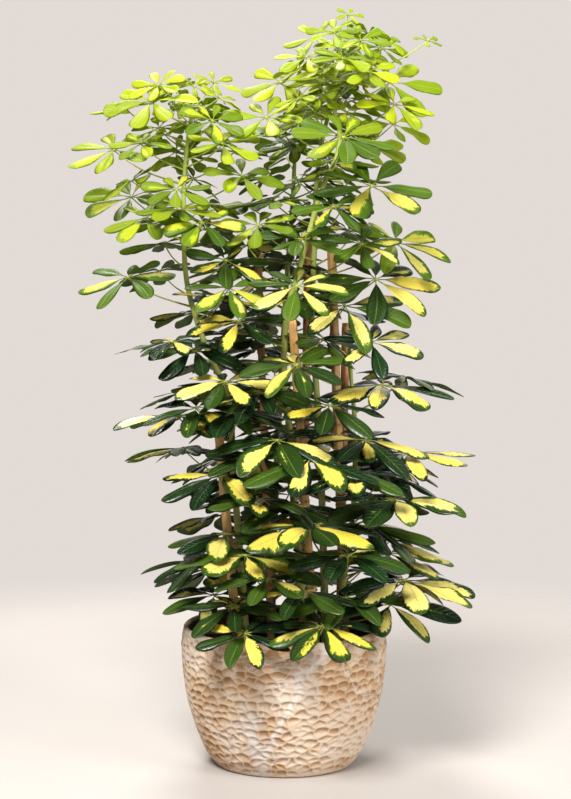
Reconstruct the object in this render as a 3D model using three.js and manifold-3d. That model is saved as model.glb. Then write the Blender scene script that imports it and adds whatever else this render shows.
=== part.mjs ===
// A variegated dwarf umbrella plant on bamboo canes, in a pot of hammered earthenware.
// Millimetres, +Z up, the front faces -Y, and the origin is the centre of the pot's underside.
import * as THREE from 'three';
import Module from 'manifold-3d';

const wasm = await Module();
wasm.setup();
const { Manifold, Mesh } = wasm;

const DEGREE = Math.PI / 180;
const UP = new THREE.Vector3(0, 0, 1);
const GAP = 0.3; // between a piece and the hole or wall that it stands in

// ---- the pot ----
const POT_SIDES = 36;
const POT_ROWS = 15;
const POT_WALL = 8;
const POT_FLOOR = 12;
const RIM_HEIGHT = 224;
const BASE_RADIUS = 107;
const SCOOP_DEPTH = 1.8;
const SCOOP_JITTER = 0.22; // as a share of one row or column
// The outer face: height and radius of the ridges between the scoops.
const POT_OUTLINE = [
  [3.5, 112], [21, 126], [47, 137.5], [71, 146], [99, 154],
  [127, 159.5], [160, 163], [193, 165], [216, 162],
];

// ---- the soil ----
const SOIL_SIDES = 20;
const SOIL_TOP = 180;
const SOIL_CROWN = 9; // how far the middle stands above the edge
const HOLE_SIDES = 6;

// ---- the canes: foot and top of the centre line, and the size across the corners ----
const CANES = {
  cane_front_left: { foot: [-60, -45, 40], top: [-105, -45, 572], across: 15 },
  cane_front: { foot: [61, -75, 40], top: [13, -75, 718], across: 16 },
  cane_back_left: { foot: [-17, 60, 40], top: [-42, 60, 839], across: 14 },
  cane_right: { foot: [104, 30, 40], top: [75, 30, 837], across: 15 },
  cane_back: { foot: [28, 80, 40], top: [39, 80, 841], across: 14 },
  cane_back_right: { foot: [88, 72, 40], top: [100, 88, 700], across: 14 },
};
const CANE_SIDES = 4;
const CANE_JOINT_SPACING = 150;
const CANE_JOINT_SWELL = 1.1;

// ---- the stems: points on the centre line from the foot up, and the radius at both ends ----
const STEMS = {
  left: {
    line: [
      [-59, -20, 70], [-62, -20, 226], [-79, -20, 459], [-88, -15, 586], [-124, -15, 674],
      [-150, -15, 759], [-157, -15, 834], [-156, -15, 933], [-150, -15, 995], [-141, -15, 1050],
    ],
    foot: 6.5, tip: 3,
  },
  centre: {
    line: [
      [42, -48, 70], [35, -50, 232], [17, -45, 411], [8, -40, 546], [0, -40, 649], [6, -40, 732],
      [20, -40, 782], [34, -35, 832], [58, -35, 916], [81, -35, 967], [86, -30, 1010],
      [75, -25, 1066], [92, -20, 1126], [101, -20, 1165],
    ],
    foot: 7.5, tip: 2.6,
  },
  right: {
    line: [
      [67, 20, 70], [66, 20, 226], [58, 20, 502], [51, 20, 607], [44, 20, 702], [48, 20, 821],
      [52, 20, 932], [68, 25, 1026], [104, 30, 1104],
    ],
    foot: 7, tip: 3,
  },
  back: {
    line: [
      [-24, 108, 70], [-20, 110, 226], [-15, 115, 400], [-5, 108, 600], [5, 98, 780],
      [14, 86, 900], [18, 82, 985],
    ],
    foot: 7, tip: 3,
  },
  side: {
    line: [
      [78, -28, 70], [84, -30, 226], [96, -34, 310], [110, -30, 420], [112, -20, 540],
      [106, -12, 620], [103, -8, 668],
    ],
    foot: 6, tip: 3,
  },
};
const STEM_SIDES = 6;

// ---- the ties: which cane and stem, and the height ----
const TIES = [
  { name: 'tie_front_high', cane: 'cane_front', stem: 'centre', height: 584 },
  { name: 'tie_front_low', cane: 'cane_front', stem: 'centre', height: 352 },
  { name: 'tie_left', cane: 'cane_front_left', stem: 'left', height: 470 },
  { name: 'tie_right', cane: 'cane_right', stem: 'right', height: 640 },
  { name: 'tie_back', cane: 'cane_back', stem: 'back', height: 560 },
];
const SCRAP_VOLUME = 20; // cubic millimetres
const TIE_RADIUS = 1;
const TIE_SLACK = 1.5;
const TIE_TURN_STEPS = 3; // steps round each end of the loop

// ---- the umbrella leaves ----
// Those that show from the front, stem by stem: x, y and z of the hub, the length of the
// longest leaflet and the number of leaflets.
const FRONT_LEAVES = {
  left: [
    [-110, 25, 1085, 44, 6], [-195, -25, 1080, 54, 7], [-205, -50, 1055, 76, 7],
    [-140, -15, 1078, 34, 5], [-110, -70, 1025, 58, 7], [-265, -15, 980, 88, 7],
    [-220, -60, 990, 54, 7], [-95, -60, 990, 68, 7], [-165, -90, 920, 62, 7],
    [-242, 40, 905, 88, 7], [-215, -55, 875, 68, 7], [-245, -10, 780, 84, 7],
    [-65, -50, 940, 68, 7], [-125, -110, 870, 68, 7], [-90, -70, 810, 74, 7],
    [-85, -110, 770, 76, 7], [-140, -50, 670, 86, 7], [-90, -110, 625, 86, 7],
    [-125, -75, 580, 94, 7], [-160, 0, 560, 110, 7], [-112, -88, 462, 112, 8],
    [-38, -130, 445, 96, 7], [-92, -98, 386, 106, 7], [-60, -130, 358, 116, 8],
    [-25, -165, 328, 92, 7], [-78, -140, 280, 92, 7], [-110, -30, 285, 100, 7],
    [-60, -182, 246, 84, 8], [-40, -110, 510, 94, 7],
  ],
  centre: [
    [100, -20, 1188, 28, 5], [85, -30, 1162, 48, 6], [118, -60, 1148, 48, 6],
    [50, 30, 1155, 56, 6], [155, 40, 1138, 52, 6], [35, -60, 1122, 56, 6],
    [90, -85, 1120, 56, 7], [128, -80, 1100, 58, 7], [170, -60, 1050, 70, 7],
    [172, 35, 1020, 66, 6], [90, -130, 1000, 88, 9], [135, -70, 925, 104, 7],
    [75, -120, 895, 68, 7], [20, -140, 775, 86, 8], [-70, -90, 718, 86, 7],
    [40, -140, 655, 94, 8], [70, -120, 590, 94, 7], [-8, -120, 545, 116, 7],
    [28, -160, 520, 120, 8], [40, -170, 410, 118, 9],
    [30, -165, 308, 92, 6], [60, -184, 258, 98, 8],
  ],
  right: [
    [-40, -70, 865, 68, 7], [215, 20, 1150, 26, 5], [-5, 15, 1085, 72, 7],
    [165, 15, 1085, 94, 7], [-35, -50, 1030, 72, 7], [135, 65, 985, 70, 7],
    [120, -70, 835, 72, 7], [175, 10, 835, 98, 8], [135, -20, 778, 108, 8],
    [95, -50, 730, 108, 7], [135, -80, 700, 88, 7],
  ],
  side: [
    [155, -30, 612, 118, 8], [192, -30, 505, 118, 8], [172, -90, 432, 122, 9],
    [165, -20, 342, 110, 7], [188, -70, 308, 128, 8], [158, -70, 270, 116, 7],
    [105, -130, 488, 100, 7], [95, -130, 300, 96, 7], [98, -160, 365, 98, 7],
  ],
};
// Those at the back and inside follow the spiral of each stem: the lowest and the highest leaf
// stalk, the step between two, and the angle of the first.
const SPIRALS = {
  back: { from: 235, to: 985, step: 44, start: 70 },
  left: { from: 260, to: 1000, step: 66, start: 100 },
  right: { from: 262, to: 1080, step: 66, start: 20 },
  centre: { from: 330, to: 1120, step: 80, start: 160 },
  side: { from: 235, to: 640, step: 66, start: 40 },
};
const GOLDEN_ANGLE = 137.5;
const INNER_REACH = 0.55; // of the spiral leaves that would stand among the front ones
const LEAF_THICKNESS = 1.3;
const LEAF_WIDTH = 0.35; // of the leaflet's length
// A leaflet's sections from the hub out: share of its length and of its full width. At the
// first it bends down and its rib is thickest. The leaves inside have one section only.
const FRONT_SECTIONS = [{ share: 0.5, wide: 0.88 }, { share: 0.82, wide: 0.94 }];
const INNER_SECTIONS = [{ share: 0.62, wide: 1 }];
const LIGHT_PULL = 0.65; // how far the front leaves turn from outward to the light in front
// Height of the hub and the lean of a front leaf's axis toward the light, in degrees: over the
// pot's rim, in the shade of the others and up in the crown.
const LEANS = [[240, 22], [300, 9], [560, 8], [700, 22], [880, 33]];
const INNER_LEAN = 12;
const LEAN_SPREAD = 14;
const FRONT_SWING = 6; // one step that a leaf may swing round its stem, in degrees
const SPIRAL_SWING = 22;
const NOTCH_RADIUS = 2.6; // where two leaflets part, and by how much it grows for each leaflet
const NOTCH_GROWTH = 0.24;
const SHORT_INWARD = 0.3; // by which the leaflets that point back to the stem are shorter
const YOUNG_FROM = 600;
const CROWN_HEIGHT = 1000; // above this all leaves are young, smaller and flatter
// The slope of a leaflet below its hub's level, and how much more it bends down to its tip, in
// degrees, on an old leaf and on a young one.
const SLOPE = { old: 1, young: -8, spread: 10 };
const BEND = { old: 17, young: 13, spread: 12 };
const STALK_RADIUS = 1.5;
const STALK_ELBOW = 0.62; // of the stalk's length from the stem
const STALK_SAG = 0.1; // of the stalk's length
const NECK = 2.5; // from the hub down to the stalk's top ring
const STALK_SLOPE = 0.42; // fall of the stalk from the hub to the stem, by its reach

// ---- colours ----
const LOOKS = {
  pot: { color: 0xc9ab83, roughness: 0.75, metalness: 0 },
  soil: { color: 0x2c2119, roughness: 1, metalness: 0 },
  cane: { color: 0xc48f4e, roughness: 0.55, metalness: 0 },
  tie: { color: 0x2b2a24, roughness: 0.6, metalness: 0 },
  leaf: { color: 0x3c6b1e, roughness: 0.4, metalness: 0 },
};

// A repeatable draw between 0 and 1.
function draws(seed) {
  let state = (seed * 7919 + 12345) >>> 0;
  return () => {
    state = (Math.imul(state, 1664525) + 1013904223) >>> 0;
    return state / 4294967296;
  };
}

const mix = (a, b, share) => a + (b - a) * share;
const clamp = (value, low, high) => Math.min(high, Math.max(low, value));
const vector = ([x, y, z]) => new THREE.Vector3(x, y, z);
const along = (from, direction, distance) => from.clone().addScaledVector(direction, distance);

function solidOf({ points, faces }) {
  return new Manifold(new Mesh({
    numProp: 3,
    vertProperties: new Float32Array(points.flatMap((p) => [p.x, p.y, p.z])),
    triVerts: new Uint32Array(faces.flat()),
  }));
}

// A closed skin over rings of equal length, listed from the foot up, each counter-clockwise
// seen from above. Both ends close on a middle point. Each four-cornered patch is split from
// its first corner, or from its second where otherSplit says so.
function skin(rings, otherSplit = () => false) {
  const sides = rings[0].length;
  const points = rings.flat();
  const faces = [];
  const middle = (ring) => ring.reduce((sum, p) => sum.add(p), new THREE.Vector3())
    .divideScalar(sides);
  for (let ring = 0; ring + 1 < rings.length; ring++) {
    for (let side = 0; side < sides; side++) {
      const a = ring * sides + side;
      const b = ring * sides + (side + 1) % sides;
      if (otherSplit(ring, side)) {
        faces.push([a, b, a + sides], [b, b + sides, a + sides]);
      } else {
        faces.push([a, b, b + sides], [a, b + sides, a + sides]);
      }
    }
  }
  const foot = points.push(middle(rings[0])) - 1;
  const head = points.push(middle(rings[rings.length - 1])) - 1;
  const last = (rings.length - 1) * sides;
  for (let side = 0; side < sides; side++) {
    const next = (side + 1) % sides;
    faces.push([foot, next, side]);
    faces.push([head, last + side, last + next]);
  }
  return { points, faces };
}

function levelRing(centre, radius, sides, turn = 0) {
  return Array.from({ length: sides }, (_, side) => {
    const angle = turn + side * 2 * Math.PI / sides;
    return centre.clone().add(
      new THREE.Vector3(Math.cos(angle) * radius, Math.sin(angle) * radius, 0));
  });
}

// The point of a line of points at a given height.
function pointAt(line, height) {
  const top = line.findIndex((p) => p[2] >= height);
  const upper = top < 0 ? line.length - 1 : Math.max(1, top);
  const [from, to] = [vector(line[upper - 1]), vector(line[upper])];
  return from.lerp(to, clamp((height - from.z) / (to.z - from.z), 0, 1));
}

// The value at a height between the rows [height, value] of a table, level beyond both ends.
function tableAt(rows, height) {
  const over = rows.findIndex(([z]) => z >= height);
  const upper = over < 0 ? rows.length - 1 : Math.max(1, over);
  const [[lowZ, low], [highZ, high]] = [rows[upper - 1], rows[upper]];
  return mix(low, high, clamp((height - lowZ) / (highZ - lowZ), 0, 1));
}

// ---- pot and soil ----
const outerRadius = (height) => tableAt(POT_OUTLINE, height);

// The hollow inside the wall up to a height, or with a gap, what fills it.
function hollowRings(top, gap) {
  const heights = [POT_FLOOR, 45, 105, SOIL_TOP, ...(top > SOIL_TOP ? [top] : [])];
  return heights.map((height) => {
    const wall = outerRadius(Math.min(height, 200)) - POT_WALL - SCOOP_DEPTH - gap;
    const lift = height === POT_FLOOR ? gap : 0;
    return levelRing(new THREE.Vector3(0, 0, height + lift), wall, SOIL_SIDES);
  });
}

function buildPot() {
  const random = draws(1);
  const rowStep = (POT_OUTLINE.at(-1)[0] - POT_OUTLINE[0][0]) / POT_ROWS;
  const rings = [levelRing(new THREE.Vector3(0, 0, 0), BASE_RADIUS, POT_SIDES)];
  for (let row = 0; row <= POT_ROWS; row++) {
    const edge = row === 0 || row === POT_ROWS;
    rings.push(Array.from({ length: POT_SIDES }, (_, side) => {
      const shift = edge ? 0 : SCOOP_JITTER;
      const turn = (side + (random() - 0.5) * shift) * 2 * Math.PI / POT_SIDES;
      const height = POT_OUTLINE[0][0] + (row + (random() - 0.5) * shift) * rowStep;
      const scoop = !edge && (row + side) % 2 === 0 ? SCOOP_DEPTH : 0;
      const radius = outerRadius(height) - scoop;
      return new THREE.Vector3(Math.cos(turn) * radius, Math.sin(turn) * radius, height);
    }));
  }
  const lip = outerRadius(POT_OUTLINE.at(-1)[0]);
  rings.push(levelRing(new THREE.Vector3(0, 0, RIM_HEIGHT - 2), lip - 1.5, POT_SIDES));
  rings.push(levelRing(new THREE.Vector3(0, 0, RIM_HEIGHT), lip - 4, POT_SIDES));
  // Split between its ridges, each patch slopes into the scoop at its corner.
  const block = skin(rings, (ring, side) => (ring + side) % 2 === 1);
  return solidOf(block).subtract(solidOf(skin(hollowRings(RIM_HEIGHT + 5, 0))));
}

function buildSoil(standing) {
  const rings = hollowRings(SOIL_TOP, GAP);
  const random = draws(2);
  for (const [share, lift] of [[0.72, 0.5], [0.36, 0.85]]) {
    rings.push(rings[3].map((p) => new THREE.Vector3(
      p.x * share, p.y * share, SOIL_TOP + SOIL_CROWN * lift + (random() - 0.5) * 5)));
  }
  const solid = solidOf(skin(rings));
  const holes = standing.map(({ line, radius }) => {
    const foot = vector(line[0]);
    const head = pointAt(line, SOIL_TOP + 30);
    const slope = head.clone().sub(foot).divideScalar(head.z - foot.z);
    const wide = radius / Math.cos(Math.PI / HOLE_SIDES) + GAP * 2;
    return solidOf(skin([
      levelRing(along(foot, slope, -GAP), wide, HOLE_SIDES),
      levelRing(head, wide, HOLE_SIDES),
    ]));
  });
  return solid.subtract(Manifold.union(holes));
}

// ---- canes, stems and ties ----
function buildCane({ foot, top, across }) {
  const [low, high] = [vector(foot), vector(top)];
  const random = draws(across + top[0] + 200);
  const turn = random() * Math.PI;
  const at = (height) => low.clone().lerp(high, (height - low.z) / (high.z - low.z));
  const rings = [levelRing(low, across / 2, CANE_SIDES, turn)];
  let joint = 235 + random() * 60;
  while (joint < high.z - 40) {
    for (const [lift, swell] of [[-5, 0], [0, CANE_JOINT_SWELL], [5, 0]]) {
      rings.push(levelRing(at(joint + lift), across / 2 + swell, CANE_SIDES, turn));
    }
    joint += CANE_JOINT_SPACING * (0.85 + random() * 0.3);
  }
  rings.push(levelRing(high, across / 2 - 0.6, CANE_SIDES, turn));
  return solidOf(skin(rings));
}

function stemRadius({ line, foot, tip }, height) {
  const [low, high] = [line[0][2], line.at(-1)[2]];
  return mix(foot, tip, clamp((height - low) / (high - low), 0, 1));
}

function buildTrunk(stem) {
  const rings = stem.line.map((point) => (
    levelRing(vector(point), stemRadius(stem, point[2]), STEM_SIDES)));
  return solidOf(skin(rings));
}

// A closed loop round a cane and a stem at one height, clear of both.
function buildTie({ cane, stem, height }) {
  const { foot, top, across } = CANES[cane];
  const ends = [
    { centre: pointAt([foot, top], height), wide: across / 2 + CANE_JOINT_SWELL },
    { centre: pointAt(STEMS[stem].line, height), wide: stemRadius(STEMS[stem], height) },
  ];
  const axis = ends[1].centre.clone().sub(ends[0].centre);
  const heading = Math.atan2(axis.y, axis.x);
  const path = [];
  ends.forEach(({ centre, wide }, end) => {
    const reach = wide + TIE_SLACK + TIE_RADIUS;
    for (let step = 0; step <= TIE_TURN_STEPS; step++) {
      const angle = heading + Math.PI * ((end ? -0.5 : 0.5) + step / TIE_TURN_STEPS);
      path.push({ centre, angle, reach: reach / Math.cos(Math.PI / TIE_TURN_STEPS / 2) });
    }
  });
  const sides = 4;
  const points = [];
  for (const { centre, angle, reach } of path) {
    for (let side = 0; side < sides; side++) {
      const turn = side * 2 * Math.PI / sides;
      const out = reach + Math.cos(turn) * TIE_RADIUS;
      points.push(new THREE.Vector3(
        centre.x + Math.cos(angle) * out, centre.y + Math.sin(angle) * out,
        centre.z + Math.sin(turn) * TIE_RADIUS));
    }
  }
  const faces = [];
  for (let ring = 0; ring < path.length; ring++) {
    const next = (ring + 1) % path.length;
    for (let side = 0; side < sides; side++) {
      const [a, b] = [ring * sides + side, ring * sides + (side + 1) % sides];
      const [c, d] = [next * sides + side, next * sides + (side + 1) % sides];
      faces.push([a, c, b], [b, c, d]);
    }
  }
  return solidOf({ points, faces });
}

// ---- umbrella leaves ----
// What a leaf is before it is bent clear of its neighbours.
function planLeaf(stemName, [x, y, z, size, count], front, number) {
  const stem = STEMS[stemName];
  const random = draws(number + 10);
  const hub = new THREE.Vector3(x, y, z);
  const low = stem.line[1][2] - 20;
  const young = clamp((z - YOUNG_FROM) / (CROWN_HEIGHT - YOUNG_FROM), 0, 1);
  const level = Math.hypot(x - pointAt(stem.line, z).x, y - pointAt(stem.line, z).y);
  const rootHeight = clamp(z - level * STALK_SLOPE - 8, low, stem.line.at(-1)[2] - 6);
  const root = pointAt(stem.line, rootHeight);
  const out = new THREE.Vector3(x - root.x, y - root.y, 0).normalize();
  const facing = out.clone().lerp(new THREE.Vector3(0, -1, 0), front ? LIGHT_PULL : 0).normalize();
  const lean = (front ? tableAt(LEANS, z) : INNER_LEAN) + (random() - 0.5) * LEAN_SPREAD;
  const swing = front ? FRONT_SWING : SPIRAL_SWING;
  const leaflets = [];
  const turn = random() * 360 / count;
  for (let index = 0; index < count; index++) {
    const angle = turn + (index + (random() - 0.5) * 0.24) * 360 / count;
    const inward = Math.max(0, -Math.cos(angle * DEGREE));
    leaflets.push({
      angle,
      length: size * (1 - SHORT_INWARD * inward) * (0.9 + random() * 0.12),
      slope: mix(SLOPE.old, SLOPE.young, young) + (random() - 0.5) * SLOPE.spread,
      bend: mix(BEND.old, BEND.young, young) + (random() - 0.5) * BEND.spread,
    });
  }
  const sections = front ? FRONT_SECTIONS : INNER_SECTIONS;
  return { stemName, hub, root, out, facing, lean, leaflets, swing, sections };
}

// The nudges that a leaf tries, the smallest first, until it is clear: a lift, a swing round the
// stem, a tilt, a longer or shorter stalk and a turn about its own stalk.
const NUDGES = [];
for (const lift of [0, 8, -8, 16, -16, 24, -24]) {
  for (const swing of [0, 1, -1, 2, -2]) {
    for (const tilt of [0, 8, -8, 16]) {
      for (const reach of [0, 10, -10]) {
        for (const spin of [0, 14, 28]) {
          const cost = Math.abs(lift) / 8 + Math.abs(swing) + Math.abs(tilt) / 8
            + Math.abs(reach) / 10 + spin / 60;
          NUDGES.push({ lift, swing, tilt, reach, spin, cost });
        }
      }
    }
  }
}
NUDGES.sort((a, b) => a.cost - b.cost);

// The leaf's own directions: its axis, outward across it, and sideways.
function leafFrame(plan, { lift, swing, tilt, reach }) {
  const turn = swing * plan.swing * DEGREE;
  const facing = plan.facing.clone().applyAxisAngle(UP, turn);
  const stalk = along(plan.hub.clone().sub(plan.root), plan.out, reach).applyAxisAngle(UP, turn);
  const lean = (plan.lean - tilt) * DEGREE;
  const axis = facing.clone().multiplyScalar(Math.sin(lean)).addScaledVector(UP, Math.cos(lean));
  const side = new THREE.Vector3().crossVectors(UP, facing).normalize();
  const forward = new THREE.Vector3().crossVectors(side, axis);
  return { hub: along(plan.root.clone().add(stalk), UP, lift), axis, side, forward };
}

// A point on a leaflet's rib at a share of its length, with the directions there.
function ribPoint({ hub, axis, side, forward }, leaflet, spin, share) {
  const angle = (leaflet.angle + spin) * DEGREE;
  const heading = forward.clone().multiplyScalar(Math.cos(angle))
    .addScaledVector(side, Math.sin(angle));
  const across = new THREE.Vector3().crossVectors(axis, heading);
  const steps = 8;
  let [reach, drop, slope] = [0, 0, 0];
  for (let step = 0; step < steps; step++) {
    slope = (leaflet.slope + leaflet.bend * share * (step + 0.5) / steps) * DEGREE;
    reach += Math.cos(slope) * leaflet.length * share / steps;
    drop += Math.sin(slope) * leaflet.length * share / steps;
  }
  const at = along(along(hub, heading, reach), axis, -drop);
  const normal = axis.clone().multiplyScalar(Math.cos(slope))
    .addScaledVector(heading, Math.sin(slope));
  return { at, across, normal };
}

// The stalk's rings from the stem to the hub.
function stalkRings(plan, frame) {
  const reach = frame.hub.distanceTo(plan.root);
  const neck = along(frame.hub, frame.axis, -NECK);
  const chord = plan.root.clone().lerp(frame.hub, STALK_ELBOW);
  const elbow = along(chord, frame.axis, -STALK_SAG * reach);
  const stations = [
    { at: plan.root, toward: elbow.clone().sub(plan.root), radius: STALK_RADIUS * 1.4 },
    { at: elbow, toward: neck.clone().sub(plan.root), radius: STALK_RADIUS * 1.1 },
    { at: neck, toward: frame.axis, radius: STALK_RADIUS },
  ];
  return stations.map(({ at, toward, radius }) => {
    const heading = toward.clone().normalize();
    const side = along(frame.side, heading, -frame.side.dot(heading)).normalize();
    const forward = new THREE.Vector3().crossVectors(side, heading);
    return [0, 1, 2].map((corner) => along(
      along(at, forward, radius * Math.cos(corner * 120 * DEGREE)),
      side, radius * Math.sin(corner * 120 * DEGREE)));
  });
}

// One thin arched blade cut into leaflets round its hub. The stalk is part of the same skin.
function leafSkin(plan, nudge) {
  const frame = leafFrame(plan, nudge);
  const count = plan.leaflets.length;
  const points = [along(frame.hub, frame.axis, LEAF_THICKNESS)];
  const faces = [];
  const notchRadius = NOTCH_RADIUS + count * NOTCH_GROWTH;
  plan.leaflets.forEach((leaflet, index) => {
    const after = plan.leaflets[(index + 1) % count];
    const gap = ((after.angle - leaflet.angle) % 360 + 360) % 360;
    const angle = (leaflet.angle + nudge.spin + gap / 2) * DEGREE;
    points.push(along(
      along(frame.hub, frame.forward, notchRadius * Math.cos(angle)),
      frame.side, notchRadius * Math.sin(angle)));
  });
  plan.leaflets.forEach((leaflet, index) => {
    const before = 1 + (index + count - 1) % count;
    const after = 1 + index;
    const bendShare = plan.sections[0].share;
    const bend = ribPoint(frame, leaflet, nudge.spin, bendShare);
    const end = ribPoint(frame, leaflet, nudge.spin, 1).at;
    const rows = [[before, after]];
    for (const { share, wide } of plan.sections) {
      const at = bend.at.clone().lerp(end, (share - bendShare) / (1 - bendShare));
      const half = leaflet.length * LEAF_WIDTH * wide / 2;
      const right = points.push(along(at, bend.across, -half)) - 1;
      const left = points.push(along(at, bend.across, half)) - 1;
      faces.push([rows.at(-1)[0], left, right], [...rows.at(-1), left]);
      rows.push([right, left]);
    }
    const rib = points.push(along(bend.at, bend.normal, LEAF_THICKNESS)) - 1;
    const tip = points.push(end) - 1;
    faces.push([...rows.at(-1), tip]);
    const rightEdge = rows.map(([right]) => right);
    const leftEdge = rows.map(([, left]) => left).reverse();
    const edge = [0, ...rightEdge, tip, ...leftEdge, 0];
    for (let step = 0; step + 1 < edge.length; step++) {
      faces.push([rib, edge[step], edge[step + 1]]);
    }
  });
  // The stalk's top ring is sewn to the notches, both counter-clockwise about the axis.
  const rings = stalkRings(plan, frame);
  const neck = points.length;
  points.push(...rings[2], ...rings[1], ...rings[0]);
  const notchAngle = (index) => {
    const p = points[1 + index].clone().sub(frame.hub);
    return (Math.atan2(p.dot(frame.side), p.dot(frame.forward)) + 2 * Math.PI) % (2 * Math.PI);
  };
  const order = Array.from({ length: count }, (_, index) => index)
    .sort((a, b) => notchAngle(a) - notchAngle(b));
  let [notch, corner] = [0, 0];
  while (notch < count || corner < 3) {
    const nextNotch = notch < count ? notchAngle(order[notch]) : Infinity;
    const from = 1 + order[(notch + count - 1) % count];
    const here = neck + corner % 3;
    if (nextNotch <= (corner + 1) * 120 * DEGREE - 60 * DEGREE && notch < count || corner === 3) {
      faces.push([1 + order[notch], from, here]);
      notch += 1;
    } else {
      faces.push([here, neck + (corner + 1) % 3, from]);
      corner += 1;
    }
  }
  for (let ring = 0; ring < 2; ring++) {
    for (let side = 0; side < 3; side++) {
      const [p, q] = [neck + ring * 3 + side, neck + ring * 3 + (side + 1) % 3];
      faces.push([q, p, p + 3], [q, p + 3, q + 3]);
    }
  }
  faces.push([neck + 6, neck + 8, neck + 7]);
  return { points, faces };
}

const withBox = (solid) => ({ solid, box: solid.boundingBox() });
const boxesMeet = (a, b) => [0, 1, 2].every(
  (axis) => a.min[axis] < b.max[axis] && b.min[axis] < a.max[axis]);
const meets = (leaf, others) => others.some((other) => (
  boxesMeet(leaf.box, other.box) && !leaf.solid.intersect(other.solid).isEmpty()));

function listLeaves() {
  const plans = [];
  for (const [name, rows] of Object.entries(FRONT_LEAVES)) {
    for (const row of rows) {
      plans.push(planLeaf(name, row, true, plans.length));
    }
  }
  for (const [name, { from, to, step, start }] of Object.entries(SPIRALS)) {
    const random = draws(from + step);
    let turn = start;
    for (let height = from; height <= to; height += step) {
      const angle = (turn + (random() - 0.5) * 24) * DEGREE;
      const reach = mix(66, 126, random()) * (Math.sin(angle) < -0.3 ? INNER_REACH : 1);
      const count = 5 + Math.floor(random() * 2);
      turn += GOLDEN_ANGLE;
      const foot = pointAt(STEMS[name].line, height);
      const age = clamp((height - 450) / 600, 0, 1);
      plans.push(planLeaf(name, [
        foot.x + Math.cos(angle) * reach * mix(1, 0.8, age),
        foot.y + Math.sin(angle) * reach * mix(1, 0.8, age),
        height + reach * STALK_SLOPE + 8,
        mix(112, 60, age),
        count,
      ], false, plans.length));
    }
  }
  return plans;
}

// The leaf with the first nudge that clears everything, or else all but its sisters on the same
// stem, to which it is then fused. A leaf that finds no such place is left off.
function settle(plan, strangers, sisters) {
  let touching = null;
  for (const nudge of NUDGES) {
    const leaf = withBox(solidOf(leafSkin(plan, nudge)));
    if (meets(leaf, strangers)) {
      continue;
    }
    if (!meets(leaf, sisters)) {
      return leaf;
    }
    touching = touching ?? leaf;
  }
  return touching;
}

function growLeaves(trunks, obstacles) {
  const grown = Object.fromEntries(Object.keys(STEMS).map((name) => [name, []]));
  for (const plan of listLeaves()) {
    const others = Object.keys(STEMS).filter((name) => name !== plan.stemName);
    const strangers = others.flatMap((name) => [trunks[name], ...grown[name]]);
    const leaf = settle(plan, [...obstacles, ...strangers], grown[plan.stemName]);
    if (leaf) {
      grown[plan.stemName].push(leaf);
    }
  }
  return grown;
}

// One body of many, with what fusing seals off filled and loose scraps left out.
function fuse(solids) {
  const pieces = Manifold.union(solids).decompose();
  return Manifold.union(pieces.filter((piece) => piece.volume() > SCRAP_VOLUME));
}

// ---- the assembly ----
const pot = buildPot();
const canes = Object.fromEntries(
  Object.entries(CANES).map(([name, cane]) => [name, buildCane(cane)]));
const trunks = Object.fromEntries(
  Object.entries(STEMS).map(([name, stem]) => [name, withBox(buildTrunk(stem))]));
const ties = Object.fromEntries(TIES.map((tie) => [tie.name, buildTie(tie)]));
const standing = [
  ...Object.values(CANES).map(({ foot, top, across }) => (
    { line: [foot, top], radius: across / 2 + CANE_JOINT_SWELL })),
  ...Object.values(STEMS).map(({ line, foot }) => ({ line, radius: foot })),
];
const soil = buildSoil(standing);
const obstacles = [pot, soil, ...Object.values(canes), ...Object.values(ties)].map(withBox);
const leaves = growLeaves(trunks, obstacles);

const part = new THREE.Group();

function addNode(name, solid, look) {
  const { vertProperties, triVerts, numProp } = solid.getMesh();
  const geometry = new THREE.BufferGeometry();
  const points = [];
  for (let at = 0; at < vertProperties.length; at += numProp) {
    points.push(vertProperties[at], vertProperties[at + 1], vertProperties[at + 2]);
  }
  geometry.setAttribute('position', new THREE.Float32BufferAttribute(points, 3));
  geometry.setIndex(Array.from(triVerts));
  const mesh = new THREE.Mesh(geometry, new THREE.MeshStandardMaterial(look));
  mesh.name = name;
  part.add(mesh);
}

addNode('pot', pot, LOOKS.pot);
addNode('soil', soil, LOOKS.soil);
for (const [name, solid] of Object.entries(canes)) {
  addNode(name, solid, LOOKS.cane);
}
for (const [name, solid] of Object.entries(ties)) {
  addNode(name, solid, LOOKS.tie);
}
for (const name of Object.keys(STEMS)) {
  const solids = [trunks[name], ...leaves[name]].map(({ solid }) => solid);
  addNode(`stem_${name}`, fuse(solids), LOOKS.leaf);
}

export default part;
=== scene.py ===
"""Dresses the potted variegated umbrella plant: fine leaves, stems, canes, ties, soil and pot.

Lengths are in millimetres here, as in the solids, and turn into metres when a mesh is made.
"""

import itertools
import math
from dataclasses import dataclass, replace
from types import SimpleNamespace

import bpy
import numpy as np
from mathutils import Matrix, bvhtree, kdtree


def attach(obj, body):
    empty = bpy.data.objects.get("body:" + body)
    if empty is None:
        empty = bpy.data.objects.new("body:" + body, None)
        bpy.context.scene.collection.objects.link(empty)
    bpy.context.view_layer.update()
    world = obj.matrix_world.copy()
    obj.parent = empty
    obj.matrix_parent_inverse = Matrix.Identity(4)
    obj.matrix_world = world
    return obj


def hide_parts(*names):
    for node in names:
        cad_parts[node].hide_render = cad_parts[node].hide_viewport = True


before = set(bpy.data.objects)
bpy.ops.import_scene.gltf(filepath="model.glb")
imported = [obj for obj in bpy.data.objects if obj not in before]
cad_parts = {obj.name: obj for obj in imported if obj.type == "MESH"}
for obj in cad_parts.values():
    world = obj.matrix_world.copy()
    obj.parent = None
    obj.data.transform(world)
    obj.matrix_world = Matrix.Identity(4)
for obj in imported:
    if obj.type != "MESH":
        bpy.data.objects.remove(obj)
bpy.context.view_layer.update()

MM = 0.001
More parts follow.
